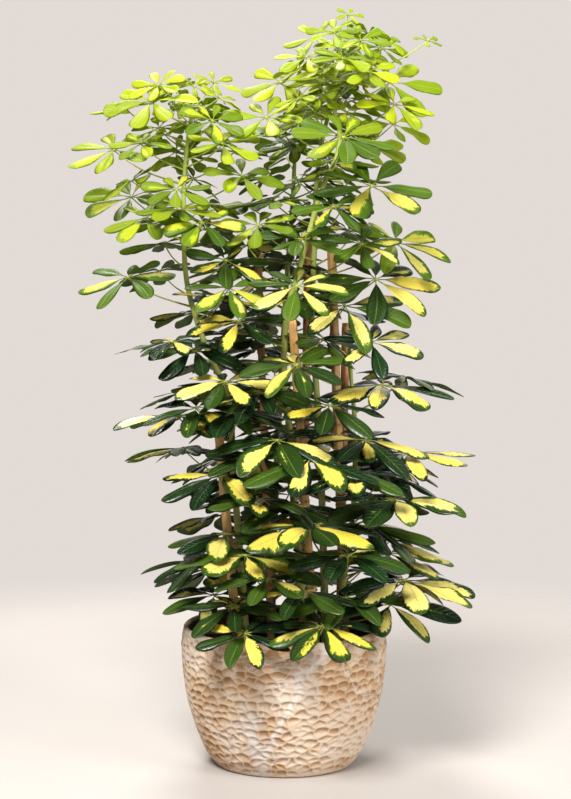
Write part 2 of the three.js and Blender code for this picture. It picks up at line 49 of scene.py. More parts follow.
UP = np.array([0.0, 0.0, 1.0])
TO_VIEWER = np.array([0.0, -1.0, 0.0])

# ---- the view of the photograph ----
CAMERA_PLACE = (2.4, -3940.3, 1025.4)
CAMERA_PITCH = 6.37  # degrees below the level
LENS = 112.64  # on a sensor of 36, along the picture's height
SENSOR = 36
PICTURE = (571, 799)  # pixels

# ---- pot and soil ----
POT_WALL = 8
POT_FLOOR = 12
# The underside: height and radius of its rings.
POT_FOOT = [(0.8, 60), (0, 101), (0.3, 107), (1.6, 110.4)]
# The outer face: height and radius of the ridges between the scoops.
POT_OUTLINE = [
    (3.5, 112), (21, 126), (47, 137.5), (71, 146), (99, 154),
    (127, 159.5), (160, 163), (193, 165), (216, 162),
]
# The rim: height, how far in from the highest ridge, and how deep the scoops run on, of 1.
POT_LIP = [
    (218.5, 0.4, 1), (221, 0.9, 0.8), (222.9, 2.2, 0.4), (224, 4.2, 0),
    (223.8, 6.4, 0), (222, 8.2, 0), (218, 9.4, 0),
]
POT_INSIDE = (200, 180, 150, 105, 60, 30, 16)  # heights of the rings
POT_SIDES = 520
POT_STEPS = 165
SCOOP_ROWS = 18
SCOOP_WIDTH = 19
SCOOP_DEPTH = 3.7
SCOOP_ARCH = 0.34  # how far a scoop's sides bend down
RIM_SCOOPED = 0.6  # how deep the scoops still are at the rim, of their depth elsewhere
SOIL_TOP = 180
SOIL_CROWN = 6.3  # how much higher it stands in the middle
SOIL_GAP = 3.2  # to the pot's wall
SOIL_WAVES = 60
SOIL_CLODS = 1.2  # the most that a clod stands up
SOIL_RINGS, SOIL_SIDES = 44, 160

# ---- canes: foot and top of the centre line, and the size across the corners ----
CANES = {
    "cane_front_left": ((-60, -45, 40), (-105, -45, 572), 15),
    "cane_front": ((61, -75, 40), (13, -75, 718), 16),
    "cane_back_left": ((-17, 60, 40), (-42, 60, 839), 14),
    "cane_right": ((104, 30, 40), (75, 30, 837), 15),
    "cane_back": ((28, 80, 40), (39, 80, 841), 14),
    "cane_back_right": ((88, 72, 40), (100, 88, 700), 14),
}
CANE_JOINT_SPACING = 150
CANE_JOINT_SWELL = 1.1
CANE_SIDES = 24
CANE_STEP = 12

# ---- stems: points on the centre line from the foot up, and the radius at both ends ----
STEMS = {
    "left": ([
        (-59, -20, 70), (-62, -20, 226), (-79, -20, 459), (-88, -15, 586), (-124, -15, 674),
        (-150, -15, 759), (-157, -15, 834), (-156, -15, 933), (-150, -15, 995),
        (-141, -15, 1050),
    ], 6.5, 3),
    "centre": ([
        (42, -48, 70), (35, -50, 232), (17, -45, 411), (8, -40, 546), (0, -40, 649),
        (6, -40, 732), (20, -40, 782), (34, -35, 832), (58, -35, 916), (81, -35, 967),
        (86, -30, 1010), (75, -25, 1066), (92, -20, 1126), (101, -20, 1165),
    ], 7.5, 2.6),
    "right": ([
        (67, 20, 70), (66, 20, 226), (58, 20, 502), (51, 20, 607), (44, 20, 702),
        (48, 20, 821), (52, 20, 932), (68, 25, 1026), (104, 30, 1104),
    ], 7, 3),
    "back": ([
        (-24, 108, 70), (-20, 110, 226), (-15, 115, 400), (-5, 108, 600), (5, 98, 780),
        (14, 86, 900), (18, 82, 985),
    ], 7, 3),
    "side": ([
        (78, -28, 70), (84, -30, 226), (96, -34, 310), (110, -30, 420), (112, -20, 540),
        (106, -12, 620), (103, -8, 668),
    ], 6, 3),
}
STEM_SIDES = 14
STEM_JOINTS_FROM, STEM_JOINT_STEPS, STEM_JOINT_SWELL = 230.0, (22, 38), 0.8

# ---- ties: cane, stem and height ----
TIES = {
    "tie_front_high": ("cane_front", "centre", 584),
    "tie_front_low": ("cane_front", "centre", 352),
    "tie_left": ("cane_front_left", "left", 470),
    "tie_right": ("cane_right", "right", 640),
    "tie_back": ("cane_back", "back", 560),
}
TIE_RADIUS = 0.9
TIE_SLACK = 1.5
TIE_STEPS = 8

# ---- umbrella leaves, as the solids place them ----
# x, y and z of the hub, the length of the longest leaflet and the number of leaflets.
FRONT_LEAVES = {
    "left": [
        (-110, 25, 1085, 44, 6), (-195, -25, 1080, 54, 7), (-205, -50, 1055, 76, 7),
        (-140, -15, 1078, 34, 5), (-110, -70, 1025, 58, 7), (-265, -15, 980, 88, 7),
        (-220, -60, 990, 54, 7), (-95, -60, 990, 68, 7), (-165, -90, 920, 62, 7),
        (-242, 40, 905, 88, 7), (-215, -55, 875, 68, 7), (-245, -10, 780, 84, 7),
        (-65, -50, 940, 68, 7), (-125, -110, 870, 68, 7), (-90, -70, 810, 74, 7),
        (-85, -110, 770, 76, 7), (-140, -50, 670, 86, 7), (-90, -110, 625, 86, 7),
        (-125, -75, 580, 94, 7), (-160, 0, 560, 110, 7), (-112, -88, 462, 112, 8),
        (-38, -130, 445, 96, 7), (-92, -98, 386, 106, 7), (-60, -130, 358, 116, 8),
        (-25, -165, 328, 92, 7), (-78, -140, 280, 92, 7), (-110, -30, 285, 100, 7),
        (-60, -182, 246, 84, 8), (-40, -110, 510, 94, 7),
    ],
    "centre": [
        (100, -20, 1188, 28, 5), (85, -30, 1162, 48, 6), (118, -60, 1148, 48, 6),
        (50, 30, 1155, 56, 6), (155, 40, 1138, 52, 6), (35, -60, 1122, 56, 6),
        (90, -85, 1120, 56, 7), (128, -80, 1100, 58, 7), (170, -60, 1050, 70, 7),
        (172, 35, 1020, 66, 6), (90, -130, 1000, 88, 9), (135, -70, 925, 104, 7),
        (75, -120, 895, 68, 7), (20, -140, 775, 86, 8), (-70, -90, 718, 86, 7),
        (40, -140, 655, 94, 8), (70, -120, 590, 94, 7), (-8, -120, 545, 116, 7),
        (28, -160, 520, 120, 8), (40, -170, 410, 118, 9), (30, -165, 308, 92, 6),
        (60, -184, 258, 98, 8),
    ],
    "right": [
        (-40, -70, 865, 68, 7), (215, 20, 1150, 26, 5), (-5, 15, 1085, 72, 7),
        (165, 15, 1085, 94, 7), (-35, -50, 1030, 72, 7), (135, 65, 985, 70, 7),
        (120, -70, 835, 72, 7), (175, 10, 835, 98, 8), (135, -20, 778, 108, 8),
        (95, -50, 730, 108, 7), (135, -80, 700, 88, 7),
    ],
    "side": [
        (155, -30, 612, 118, 8), (192, -30, 505, 118, 8), (172, -90, 432, 122, 9),
        (165, -20, 342, 110, 7), (188, -70, 308, 128, 8), (158, -70, 270, 116, 7),
        (105, -130, 488, 100, 7), (95, -130, 300, 96, 7), (98, -160, 365, 98, 7),
    ],
}
# The lowest and the highest leaf stalk of each stem's spiral, the step and the first angle.
SPIRALS = {
    "back": (235, 985, 44, 70),
    "left": (260, 1000, 66, 100),
    "right": (262, 1080, 66, 20),
    "centre": (330, 1120, 80, 160),
    "side": (235, 640, 66, 40),
}
# The small leaves in the shade, which only the scene has: a stem and a spiral's four values.
FILLERS = [
    ("centre", 236, 1000, 26, 300), ("side", 236, 620, 30, 90), ("left", 240, 900, 36, 10),
    ("right", 240, 1000, 34, 200), ("back", 240, 960, 48, 0), ("centre", 1004, 1125, 9, 40),
    ("right", 1010, 1100, 12, 120), ("left", 910, 1045, 12, 60), ("left", 560, 1010, 18, 220),
    ("centre", 600, 1000, 20, 80), ("right", 600, 1060, 20, 310), ("back", 250, 960, 31, 140),
    ("centre", 240, 560, 19, 200), ("right", 240, 640, 23, 60), ("left", 240, 600, 23, 120),
    ("side", 240, 560, 21, 10), ("back", 244, 640, 25, 200),
]
FILLER_LEANS = [(600, 0), (950, 22)]  # height, and how much further out the leaf leans
# Height and the y before which no filler's hub stands.
FILLER_FRONTS = [(300, -160), (340, -60), (500, -60), (560, -30), (1020, -30), (1060, -100)]
SMALL_LEAFLET = 0.72  # length of the leaflets that fill the wide gaps between two others
SMALL_LEAFLET_DROOP = 6  # degrees
WIDE_GAP = 56  # degrees
GOLDEN_ANGLE, ANGLE_SPREAD = 137.5, 24  # degrees round the stem from leaf to leaf
SPIRAL_AGES = (450, 1050)  # heights between which a spiral's leaves turn from old to young
# Of a spiral's leaves: nearest and furthest reach, size when old and young, fewest leaflets.
SPIRAL_LEAVES = ((66, 126), (112, 60), 5)
FILLER_LEAVES = ((34, 96), (98, 44), 7)
INNER_REACH = 0.55  # share of its reach that a spiral's leaf keeps toward the viewer
LIGHT_PULL = 0.65  # how far a front leaf turns to the viewer, of 1
# Height of the hub and the lean of a front leaf's axis toward the light.
LEANS = [(240, 22), (300, 9), (560, 8), (700, 22), (880, 33)]
INNER_LEAN, LEAN_SPREAD = 12, 14  # degrees
FRONT_SWING, SPIRAL_SWING = 6, 22  # degrees of one swing among the nudges
SHORT_INWARD = 0.3  # how much shorter a leaflet is that points back at the stem
UNEVEN = 0.24  # of the angle between two leaflets
YOUNG_FROM, CROWN_HEIGHT = 600, 1000  # heights between which leaves turn from old to young
# In degrees, a leaflet's slope at its foot and how far it bends down from there to its end.
SLOPE_OLD, SLOPE_YOUNG, SLOPE_SPREAD = 1, -8, 10
BEND_OLD, BEND_YOUNG, BEND_SPREAD = 17, 13, 12
STALK_RADIUS = 1.125
# The place and the sag of a stalk's elbow, as shares of its length, the height of its upright
# end below the hub, and its rise for each millimetre outward.
STALK_ELBOW, STALK_SAG, NECK, STALK_SLOPE = 0.62, 0.1, 2.5, 0.42
# Height on the leaf's axis and radius of the knob where its leaflets meet.
KNOB = [(-2.2, 1.2), (-1.6, 2.2), (-0.6, 3.1), (0.5, 3.2), (1.4, 2.2), (1.9, 0.8)]
ARC_STEPS = 8
# What a leaf tries until it is clear: its lift, swing, tilt, reach and spin.
NUDGES = ((0, 8, -8, 16, -16, 24, -24), (0, 1, -1, 2, -2), (0, 8, -8, 16), (0, 10, -10),
          (0, 14, 28))
TOUCH = 0.05  # how near a leaflet's end comes to the solid's corner when it is the same

# ---- what one leaflet looks like ----
PETIOLULE = 0.12  # share of the leaflet's length that is its own little stalk
PETIOLULE_WIDTH = 1.6
WIDTH_OLD, WIDTH_YOUNG = 0.315, 0.36  # of the length
BLADE_THICKNESS = 0.7
# Height of the hub and the degrees that a blade pointing sideways turns about its rib.
TURNS_TO_LIGHT = [(540, 20), (680, 6), (960, 4), (1080, 14)]
# Shares of the length and of the half width at which a blade has its points.
LEAFLET_STATIONS = [0, 0.06, 0.12, 0.16, 0.22, 0.3, 0.4, 0.5, 0.6, 0.69, 0.77, 0.84,
                    0.9, 0.945, 0.975, 0.992]
LEAFLET_COLUMNS = [-1, -0.8, -0.45, -0.09, 0, 0.09, 0.45, 0.8, 1]
# The same, roughly, to find out whether a new leaflet is clear of the others.
COARSE_STATIONS, COARSE_COLUMNS = (0.16, 0.45, 0.75, 1.0), (-1.0, 0.0, 1.0)
PLAIN_FORM = SimpleNamespace(ratio=WIDTH_OLD, base=1.1, round_end=0.5, fold=0.1, roll=0.1,
                             wave=0.0, phase=0.0, twist=0.0, bow=0.0)
# Where the middles of mostly yellow leaflets show: counts of pixels across and down.
GOLD_SPOTS = [
    (220, 546), (216, 565), (284, 531), (343, 532), (261, 457), (257, 472), (186, 452),
    (325, 456), (439, 441), (457, 457), (425, 488), (446, 500), (436, 511), (421, 527),
    (446, 529), (450, 556), (443, 572), (446, 588), (371, 588), (407, 611), (364, 552),
    (271, 565), (218, 631), (364, 634), (425, 557), (259, 655), (345, 650),
    (227, 225), (232, 243), (257, 296), (277, 305), (314, 298), (321, 284), (336, 321),
    (361, 320), (382, 275), (421, 277), (425, 291), (396, 289), (432, 241), (429, 254),
    (446, 254), (218, 318), (211, 327), (229, 334), (293, 354), (425, 362), (414, 382),
    (179, 398), (186, 384), (393, 396), (252, 395), (393, 211), (359, 214), (382, 200),
    (419, 48), (75, 152), (90, 205), (152, 158), (100, 292), (440, 92),
]
FORWARD_COUNTS = 0.1  # pixels for each millimetre toward the viewer
GOLD_BY_CHANCE = 0.25  # share of the other leaflets that are mostly yellow too
# Heights between which the green turns from dark to lime.
FRESH_FROM, FRESH_FULL = 720, 1110
FRESH_SPREAD = 0.22


def mix(a, b, share):
    return a + (b - a) * share


def clamp(value, low=0.0, high=1.0):
    return np.clip(value, low, high)


def ramp(value, low, high):
    """How far a value is on its way from low to high, between 0 and 1."""
    return clamp((value - low) / (high - low))


def unit(v):
    return v / np.linalg.norm(v)


def draws(seed):
    """The solids' own repeatable draw between 0 and 1, as a function."""
    state = (seed * 7919 + 12345) % 2**32

    def draw():
        nonlocal state
        state = (state * 1664525 + 1013904223) % 2**32
        return state / 2**32

    return draw


def table_at(rows, at):
    """The value between the rows of a table, level beyond both ends."""
    places, values = zip(*rows)
    return np.interp(at, places, values)


def point_at(line, height):
    """The point of a line of points at a given height."""
    upper = next((i for i, p in enumerate(line) if p[2] >= height), len(line) - 1)
    low, high = (np.array(line[max(1, upper) - i], float) for i in (1, 0))
    return mix(low, high, ramp(height, low[2], high[2]))


def smooth_line(points, per_span):
    """A curve through all the points, with per_span steps between two of them."""
    p = np.array(points, float)
    p = np.vstack([2 * p[0] - p[1], p, 2 * p[-1] - p[-2]])
    t = np.arange(per_span)[:, None] / per_span
    spans = [0.5 * (2 * b + (c - a) * t + (2 * a - 5 * b + 4 * c - d) * t**2
                    + (3 * b - a - 3 * c + d) * t**3)
             for a, b, c, d in zip(p, p[1:], p[2:], p[3:])]
    return np.vstack(spans + [p[-2]])


# ---- meshes ----
LAYERS = {"place": ("FLOAT_VECTOR", "vector"), "nature": ("FLOAT_COLOR", "color")}


def link(name, data):
    """A new object in the scene."""
    thing = bpy.data.objects.new(name, data)
    bpy.context.scene.collection.objects.link(thing)
    return thing


def make_piece(name, points, faces, material, slot, replaced, spots=None, **layers):
    """A smooth piece that stands for a solid, with what its material reads at each point."""
    mesh = bpy.data.meshes.new(name)
    mesh.from_pydata((points * MM).tolist(), [], faces)
    for layer, values in layers.items():
        kind, field = LAYERS[layer]
        data = mesh.attributes.new(layer, kind, "POINT").data
        data.foreach_set(field, np.ascontiguousarray(values, np.float32).ravel())
    if spots is not None:
        mesh.uv_layers.new(name="OFBake").uv.foreach_set("vector", spots.ravel())
    mesh.polygons.foreach_set("use_smooth", [True] * len(mesh.polygons))
    mesh.materials.append(material)
    mesh.update()
    piece = link(name, mesh)
    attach(piece, "root")
    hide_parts(replaced)


class Skin:
    """The points and faces of one piece, gathered patch by patch, with what its material reads.

    place is (along, across, kind of surface) and nature four values for each point. Each patch
    has a cell of its own on the piece's map.
    """

    MARGIN = 0.06  # of a cell

    def __init__(self):
        self.points, self.place, self.nature, self.faces, self.cells = [], [], [], [], []
        self.count = 0

    def add(self, points, faces, place, nature, *cells):
        """cells: the place within its cell, from 0 to 1, of each corner of a patch's faces."""
        self.points.append(points)
        self.place.append(np.broadcast_to(place, (len(points), 3)))
        self.nature.append(np.broadcast_to(nature, (len(points), 4)))
        self.faces += [[c + self.count for c in face] for face in faces]
        self.cells += cells
        self.count += len(points)

    def build(self, name, material, slot, replaced):
        make_piece(name, np.vstack(self.points), self.faces, material, slot, replaced, self.map(),
                   place=np.vstack(self.place), nature=np.vstack(self.nature))

    def map(self):
        across = math.ceil(math.sqrt(len(self.cells)))
        return np.vstack([
            (np.array([i % across, i // across]) + mix(self.MARGIN, 1 - self.MARGIN, spots)) / across
            for i, spots in enumerate(self.cells)
        ])


def grid_faces(rows, columns, wrap=False):
    """Quads over rows of points, each row columns long."""
    faces = []
    for row in range(rows - 1):
        for column in range(columns if wrap else columns - 1):
            a, b = row * columns + column, row * columns + (column + 1) % columns
            faces.append([a, b, b + columns, a + columns])
    return faces


def closed_faces(rows, sides):
    """Rings of points as a tube, with fans to the two points after them at its foot and head."""
    foot, last = rows * sides, (rows - 1) * sides
    faces = grid_faces(rows, sides, wrap=True)
    faces += [[foot, (i + 1) % sides, i] for i in range(sides)]
    faces += [[foot + 1, last + i, last + (i + 1) % sides] for i in range(sides)]
    return faces


def closed_spots(rows, sides, end=0.05):
    """The map of such a tube: a grid, with a strip below and above it for the fans."""
    spots = [(c / sides, end + (1 - 2 * end) * r / (rows - 1))
             for row in range(rows - 1) for column in range(sides)
             for c, r in ((column, row), (column + 1, row), (column + 1, row + 1), (column, row + 1))]
    spots += [spot for edge, pole in ((end, 0.0), (1 - end, 1.0)) for c in range(sides)
              for spot in ((c / sides, pole), (c / sides, edge), ((c + 1) / sides, edge))]
    return np.array(spots)


def ring_angles(sides):
    """The angles of a ring's points."""
    return np.arange(sides) * math.tau / sides


def ring_points(reach, levels, foot, head):
    """Points on upright rings, one row of levels each, and the middles of foot and head."""
    angles = ring_angles(levels.shape[1])
    rings = np.stack([np.cos(angles) * reach, np.sin(angles) * reach, levels], axis=2)
    return np.vstack([rings.reshape(-1, 3), [[0, 0, foot], [0, 0, head]]])


def add_tube(skin, path, radii, sides, nature, shape=1.0, kind=0.0):
    """A closed tube along a path. shape scales the radius at each of its sides.

    nature holds for all of it, or has a row for each ring.
    """
    path = np.asarray(path, float)
    tangents = np.gradient(path, axis=0)
    tangents /= np.linalg.norm(tangents, axis=1)[:, None]
    side = unit(np.cross(tangents[0], [0.31, 0.95, 0.02]))
    angles = ring_angles(sides)[:, None]
    shape = np.broadcast_to(shape, sides)[:, None]
    rings = []
    for at, tangent, radius in zip(path, tangents, radii):
        side = unit(side - tangent * side.dot(tangent))
        other = np.cross(tangent, side)
        rings.append(at + radius * shape * (np.cos(angles) * side + np.sin(angles) * other))
    points = np.vstack(rings + [path[:1], path[-1:]])
    lengths = np.r_[0, np.cumsum(np.linalg.norm(np.diff(path, axis=0), axis=1))]
    place = np.stack([np.r_[np.repeat(lengths, sides), 0, lengths[-1]],
                      np.r_[np.tile(np.arange(sides) / sides, len(path)), 0, 0],
                      np.full(len(points), kind)], axis=1)
    nature = np.broadcast_to(nature, (len(path), 4))
    nature = np.vstack([np.repeat(nature, sides, axis=0), nature[[0, -1]]])
    skin.add(points, closed_faces(len(path), sides), place, nature, closed_spots(len(path), sides))


# ---- where the leaves are: the solids' own rules ----
@dataclass
class Leaflet:
    """Its angle round the hub, its length, the slope at its foot and how far it bends down."""
    angle: float
    length: float
    slope: float
    bend: float
    golden: bool = False


def plan_leaf(stem, row, front, number):
    """What a leaf is before it is bent clear of its neighbours."""
    x, y, z, size, count = row
    line = STEMS[stem][0]
    random = draws(number + 10)
    hub = np.array([x, y, z], float)
    young = ramp(z, YOUNG_FROM, CROWN_HEIGHT)
    level = math.hypot(*(hub - point_at(line, z))[:2])
    root = point_at(line, clamp(z - level * STALK_SLOPE - 8, line[1][2] - 20, line[-1][2] - 6))
    out = unit((hub - root) * (1, 1, 0))
    lean = (table_at(LEANS, z) if front else INNER_LEAN) + (random() - 0.5) * LEAN_SPREAD
    turn = random() * 360 / count
    leaflets = []
    for index in range(count):
        angle = turn + (index + (random() - 0.5) * UNEVEN) * 360 / count
        inward = max(0.0, -math.cos(math.radians(angle)))
        leaflets.append(Leaflet(
            angle, size * (1 - SHORT_INWARD * inward) * (0.9 + random() * 0.12),
            mix(SLOPE_OLD, SLOPE_YOUNG, young) + (random() - 0.5) * SLOPE_SPREAD,
            mix(BEND_OLD, BEND_YOUNG, young) + (random() - 0.5) * BEND_SPREAD))
    return SimpleNamespace(
        stem=stem, hub=hub, root=root, out=out, lean=lean, front=front, leaflets=leaflets,
        facing=unit(mix(out, TO_VIEWER, LIGHT_PULL if front else 0)),
        swing=FRONT_SWING if front else SPIRAL_SWING, number=number, young=young)


def spiral_plans(stem, rule, number, reaches, sizes, fewest):
    """Leaves that follow the spiral of a stem."""
    start, stop, step, turn = rule
    random = draws(start + step)
    plans = []
    for height in range(start, stop + 1, step):
        angle = math.radians(turn + (random() - 0.5) * ANGLE_SPREAD)
        toward_viewer = math.sin(angle) < -0.3
        reach = mix(*reaches, random()) * (INNER_REACH if toward_viewer else 1)
        count = fewest + math.floor(random() * 2)
        turn += GOLDEN_ANGLE
        foot = point_at(STEMS[stem][0], height)
        age = ramp(height, *SPIRAL_AGES)
        away = reach * mix(1, 0.8, age)
        row = (foot[0] + math.cos(angle) * away, foot[1] + math.sin(angle) * away,
               height + reach * STALK_SLOPE + 8, mix(*sizes, age), count)
        plans.append(plan_leaf(stem, row, False, number + len(plans)))
    return plans


def list_leaves():
    """The leaves that the solids try to place, in their order."""
    plans = []
    for stem, rows in FRONT_LEAVES.items():
        for row in rows:
            plans.append(plan_leaf(stem, row, True, len(plans)))
    for stem, rule in SPIRALS.items():
        plans += spiral_plans(stem, rule, len(plans), *SPIRAL_LEAVES)
    return plans


def list_nudges():
    """All nudges that a leaf tries, the slightest first."""
    def cost(nudge):
        lift, swing, tilt, reach, spin = map(abs, nudge)
        return lift / 8 + swing + tilt / 8 + reach / 10 + spin / 60

    return np.array(sorted(itertools.product(*NUDGES), key=cost), float)


def turned(v, angles):
    """v turned about the upright axis, once for each angle."""
    c, s = np.cos(angles), np.sin(angles)
    return np.stack([v[0] * c - v[1] * s, v[0] * s + v[1] * c, np.full_like(c, v[2])], axis=1)


def leaf_frames(plan, nudges):
    """Hub, axis, side and forward direction of a leaf under each of many nudges."""
    lift, swing, tilt, reach, _ = nudges.T
    angles = np.radians(swing * plan.swing)
    facing = turned(plan.facing, angles)
    stalk = turned(plan.hub - plan.root, angles) + reach[:, None] * turned(plan.out, angles)
    lean = np.radians(plan.lean - tilt)[:, None]
    axis = facing * np.sin(lean) + UP * np.cos(lean)
    side = np.cross(UP, facing)
    side /= np.linalg.norm(side, axis=1)[:, None]
    return plan.root + stalk + lift[:, None] * UP, axis, side, np.cross(side, axis)


def leaflet_ends(plan, nudges, leaflet):
    """Where a leaflet's end comes to lie under each nudge."""
    hub, axis, side, forward = leaf_frames(plan, nudges)
    angle = np.radians(leaflet.angle + nudges[:, 4])[:, None]
    heading = forward * np.cos(angle) + side * np.sin(angle)
    steps = (np.arange(ARC_STEPS) + 0.5) / ARC_STEPS
    slopes = np.radians(leaflet.slope + leaflet.bend * steps)
    reach, drop = np.cos(slopes).mean(), np.sin(slopes).mean()
    return hub + leaflet.length * (heading * reach - axis * drop)


def find_nudge(plan, nudges, corners):
    """The nudge that the solid leaf took, known by its leaflets' ends, or None if it is left off."""
    def touching(leaflet, tried):
        ends = leaflet_ends(plan, tried, leaflet)
        return [i for i, end in enumerate(ends) if corners.find(end)[2] < TOUCH]

    best, most = None, 0
    for leaflet in plan.leaflets:
        for i in touching(leaflet, nudges):
            found = sum(len(touching(other, nudges[i:i + 1])) for other in plan.leaflets)
            if found > most:
                best, most = i, found
        if most > len(plan.leaflets) / 2:
            break
    return best


def corner_tree(stem):
    """The corners of a stem's solid, to look up the nearest to a point."""
    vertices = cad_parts[f"stem_{stem}"].data.vertices
    tree = kdtree.KDTree(len(vertices))
    for i, vertex in enumerate(vertices):
        tree.insert(vertex.co / MM, i)
    tree.balance()
    return tree


def set_leaf(plan, nudge):
    """Gives a leaf its final hub and directions."""
    frames = leaf_frames(plan, nudge[None, :])
    plan.hub, plan.axis, plan.side, plan.forward = (values[0] for values in frames)
    plan.spin = nudge[4]


def settle_leaves():
    """Each leaf of the solids with its hub and directions."""
    nudges = list_nudges()
    trees = {stem: corner_tree(stem) for stem in STEMS}
    leaves = []
    for plan in list_leaves():
        found = find_nudge(plan, nudges, trees[plan.stem])
        if found is not None:
            set_leaf(plan, nudges[found])
            leaves.append(plan)
    return leaves


# ---- the leaves and leaflets that only the scene has ----
def solid_trees():
    """The solids, each as a tree that finds what touches it."""
    return [bvhtree.BVHTree.FromPolygons([v.co for v in mesh.vertices],
                                         [p.vertices[:] for p in mesh.polygons])
            for mesh in (node.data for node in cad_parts.values())]


def take(leaf, leaflets, trees):
    """Adds leaflets to the trees if they are clear of all of them, and says if they are."""
    u, v = np.array(list(itertools.product(COARSE_STATIONS, COARSE_COLUMNS))).T
    blade = grid_faces(len(COARSE_STATIONS), len(COARSE_COLUMNS))
    points, faces = [], []
    for leaflet in leaflets:
        faces += [[c + len(points) for c in face] for face in blade]
        points += (blade_points(leaf, leaflet, PLAIN_FORM, u, v, 0 * u) * MM).tolist()
    tree = bvhtree.BVHTree.FromPolygons(points, faces)
    clear = not any(tree.overlap(other) for other in trees)
    if clear:
        trees.append(tree)
    return clear


def add_small_leaflets(leaves, trees):
    """Shorter leaflets in the wide gaps of the leaves inside."""
    for leaf in leaves:
        ring = sorted(leaf.leaflets, key=lambda leaflet: leaflet.angle)
        for one, other in zip(ring, ring[1:] + ring[:1]):
            gap = (other.angle - one.angle) % 360
            small = replace(one, angle=one.angle + gap / 2, length=one.length * SMALL_LEAFLET,
                            slope=one.slope + SMALL_LEAFLET_DROOP)
            if gap > WIDE_GAP and take(leaf, [small], trees):
                leaf.leaflets.append(small)


def grow_fillers(trees):
    """Small leaves in the shade, each nudged on from where it is until it is clear."""
    fillers = []
    # The lower lifts, all swings and every other spin, with no tilt and no change of reach.
    nudges = [n for n in list_nudges() if abs(n[0]) < 20 and n[2] == n[3] == 0 and n[4] != 14]
    for stem, *rule in FILLERS:
        for plan in spiral_plans(stem, rule, 500 + 100 * len(fillers), *FILLER_LEAVES):
            _, y, z = plan.hub
            if y < table_at(FILLER_FRONTS, z):
                continue  # it would stand in front of the placed leaves
            plan.lean += table_at(FILLER_LEANS, z)
            for nudge in nudges:
                set_leaf(plan, nudge)
                if take(plan, plan.leaflets, trees):
                    fillers.append(plan)
                    break
    return fillers


# ---- one leaf ----
def leaflet_template():
    """Faces, stations, columns, underside and map places of one leaflet, the same for all."""
    rows, columns = len(LEAFLET_STATIONS), len(LEAFLET_COLUMNS)
    tip, last = rows * columns, (rows - 1) * columns
    along, across = np.meshgrid(LEAFLET_STATIONS, LEAFLET_COLUMNS, indexing="ij")
    top_u, top_v = np.r_[along.ravel(), 1.0], np.r_[across.ravel(), 0.0]
    inner = [r * columns + c for r in range(1, rows) for c in range(1, columns - 1)]
    below = {p: tip + 1 + i for i, p in enumerate(inner)}
    top = grid_faces(rows, columns)
    top += [[last + c, last + c + 1, tip] for c in range(columns - 1)]
    bottom = [[below.get(p, p) for p in face[::-1]] for face in top]
    u, v = np.r_[top_u, top_u[inner]], np.r_[top_v, top_v[inner]]
    under = np.r_[np.zeros(tip + 1), np.ones(len(inner))]
    corners = [[c for face in faces for c in face] for faces in (top, bottom)]
    return top + bottom, u, v, under, [np.stack([(v[c] + 1) / 2, u[c]], axis=1) for c in corners]


TEMPLATE = leaflet_template()


def leaflet_form(leaf, leaflet, random):
    """How one blade differs from the next: its outline, folds, waves and turn to the light."""
    _, across = leaflet_directions(leaf, leaflet)
    tilt = -across.dot(leaf.facing)
    turn = table_at(TURNS_TO_LIGHT, leaf.hub[2])
    return SimpleNamespace(
        ratio=mix(WIDTH_OLD, WIDTH_YOUNG, leaf.young) * random.uniform(0.86, 1.1),
        base=mix(0.85, 1.25, leaf.young) * random.uniform(0.85, 1.15),
        round_end=mix(0.56, 0.46, leaf.young) * random.uniform(0.85, 1.15),
        fold=math.radians(random.uniform(-4, 30)),
        roll=random.uniform(0, 0.5),
        wave=random.uniform(0, 0.03),
        phase=random.random(),
        twist=math.radians(turn * tilt + random.uniform(-17, 17)),
        bow=random.uniform(-0.03, 0.03))


def leaflet_directions(leaf, leaflet):
    """Where a leaflet points, and the direction across it."""
    angle = math.radians(leaflet.angle + leaf.spin)
    heading = leaf.forward * math.cos(angle) + leaf.side * math.sin(angle)
    return heading, np.cross(leaf.axis, heading)


def blade_points(leaf, leaflet, form, u, v, under):
    """Points of a leaflet at shares u of its length and v of its half width."""
    length = leaflet.length
    heading, across = leaflet_directions(leaf, leaflet)
    # The same arc as the solid's, with its reach and drop at every station.
    fine = np.linspace(0, 1, 101)
    slopes = np.radians(leaflet.slope + leaflet.bend * (fine[1:] + fine[:-1]) / 2)
    reach, drop = (np.interp(u, fine, np.r_[0, np.cumsum(part)] / 100) * length
                   for part in (np.cos(slopes), np.sin(slopes)))
    slope = np.radians(leaflet.slope + leaflet.bend * u)
    normal = np.cos(slope)[:, None] * leaf.axis + np.sin(slope)[:, None] * heading
    # The half width: the blade widens slowly from its little stalk and ends round.
    blade, base, end = ramp(u, PETIOLULE, 1), form.base, form.round_end
    widest = base / (base + end)
    full = widest**base * (1 - widest)**end
    half = length * form.ratio / 2 * blade**base * (1 - blade)**end / full
    half = np.maximum(half, PETIOLULE_WIDTH / 2 * (blade < 0.9))
    # Across, it is folded along its rib, rolls down at its edges and is a little wavy.
    spread = blade * (1 - blade) * 4
    lift = half * (abs(v) * math.sin(form.fold) - form.roll * v**4) * spread**0.3
    lift += half * v * np.sin(form.twist * mix(0.3, 1, u))
    lift += length * form.wave * np.sin(math.tau * (1.7 * u + form.phase)) * v * abs(v) * spread
    thick = np.where(blade > 0, BLADE_THICKNESS / 2, PETIOLULE_WIDTH * 0.45)
    thick = thick * np.sqrt(clamp(1 - v * v)) * np.sign(0.5 - under)
    rib = np.exp(-(v / 0.12)**2) * np.where(under > 0, -0.6, -0.25) * (1 - u)
    sideways = v * half + length * form.bow * spread
    points = leaf.hub + heading * reach[:, None] - leaf.axis * drop[:, None]
    return points + across * sideways[:, None] + normal * (lift + thick + rib)[:, None]


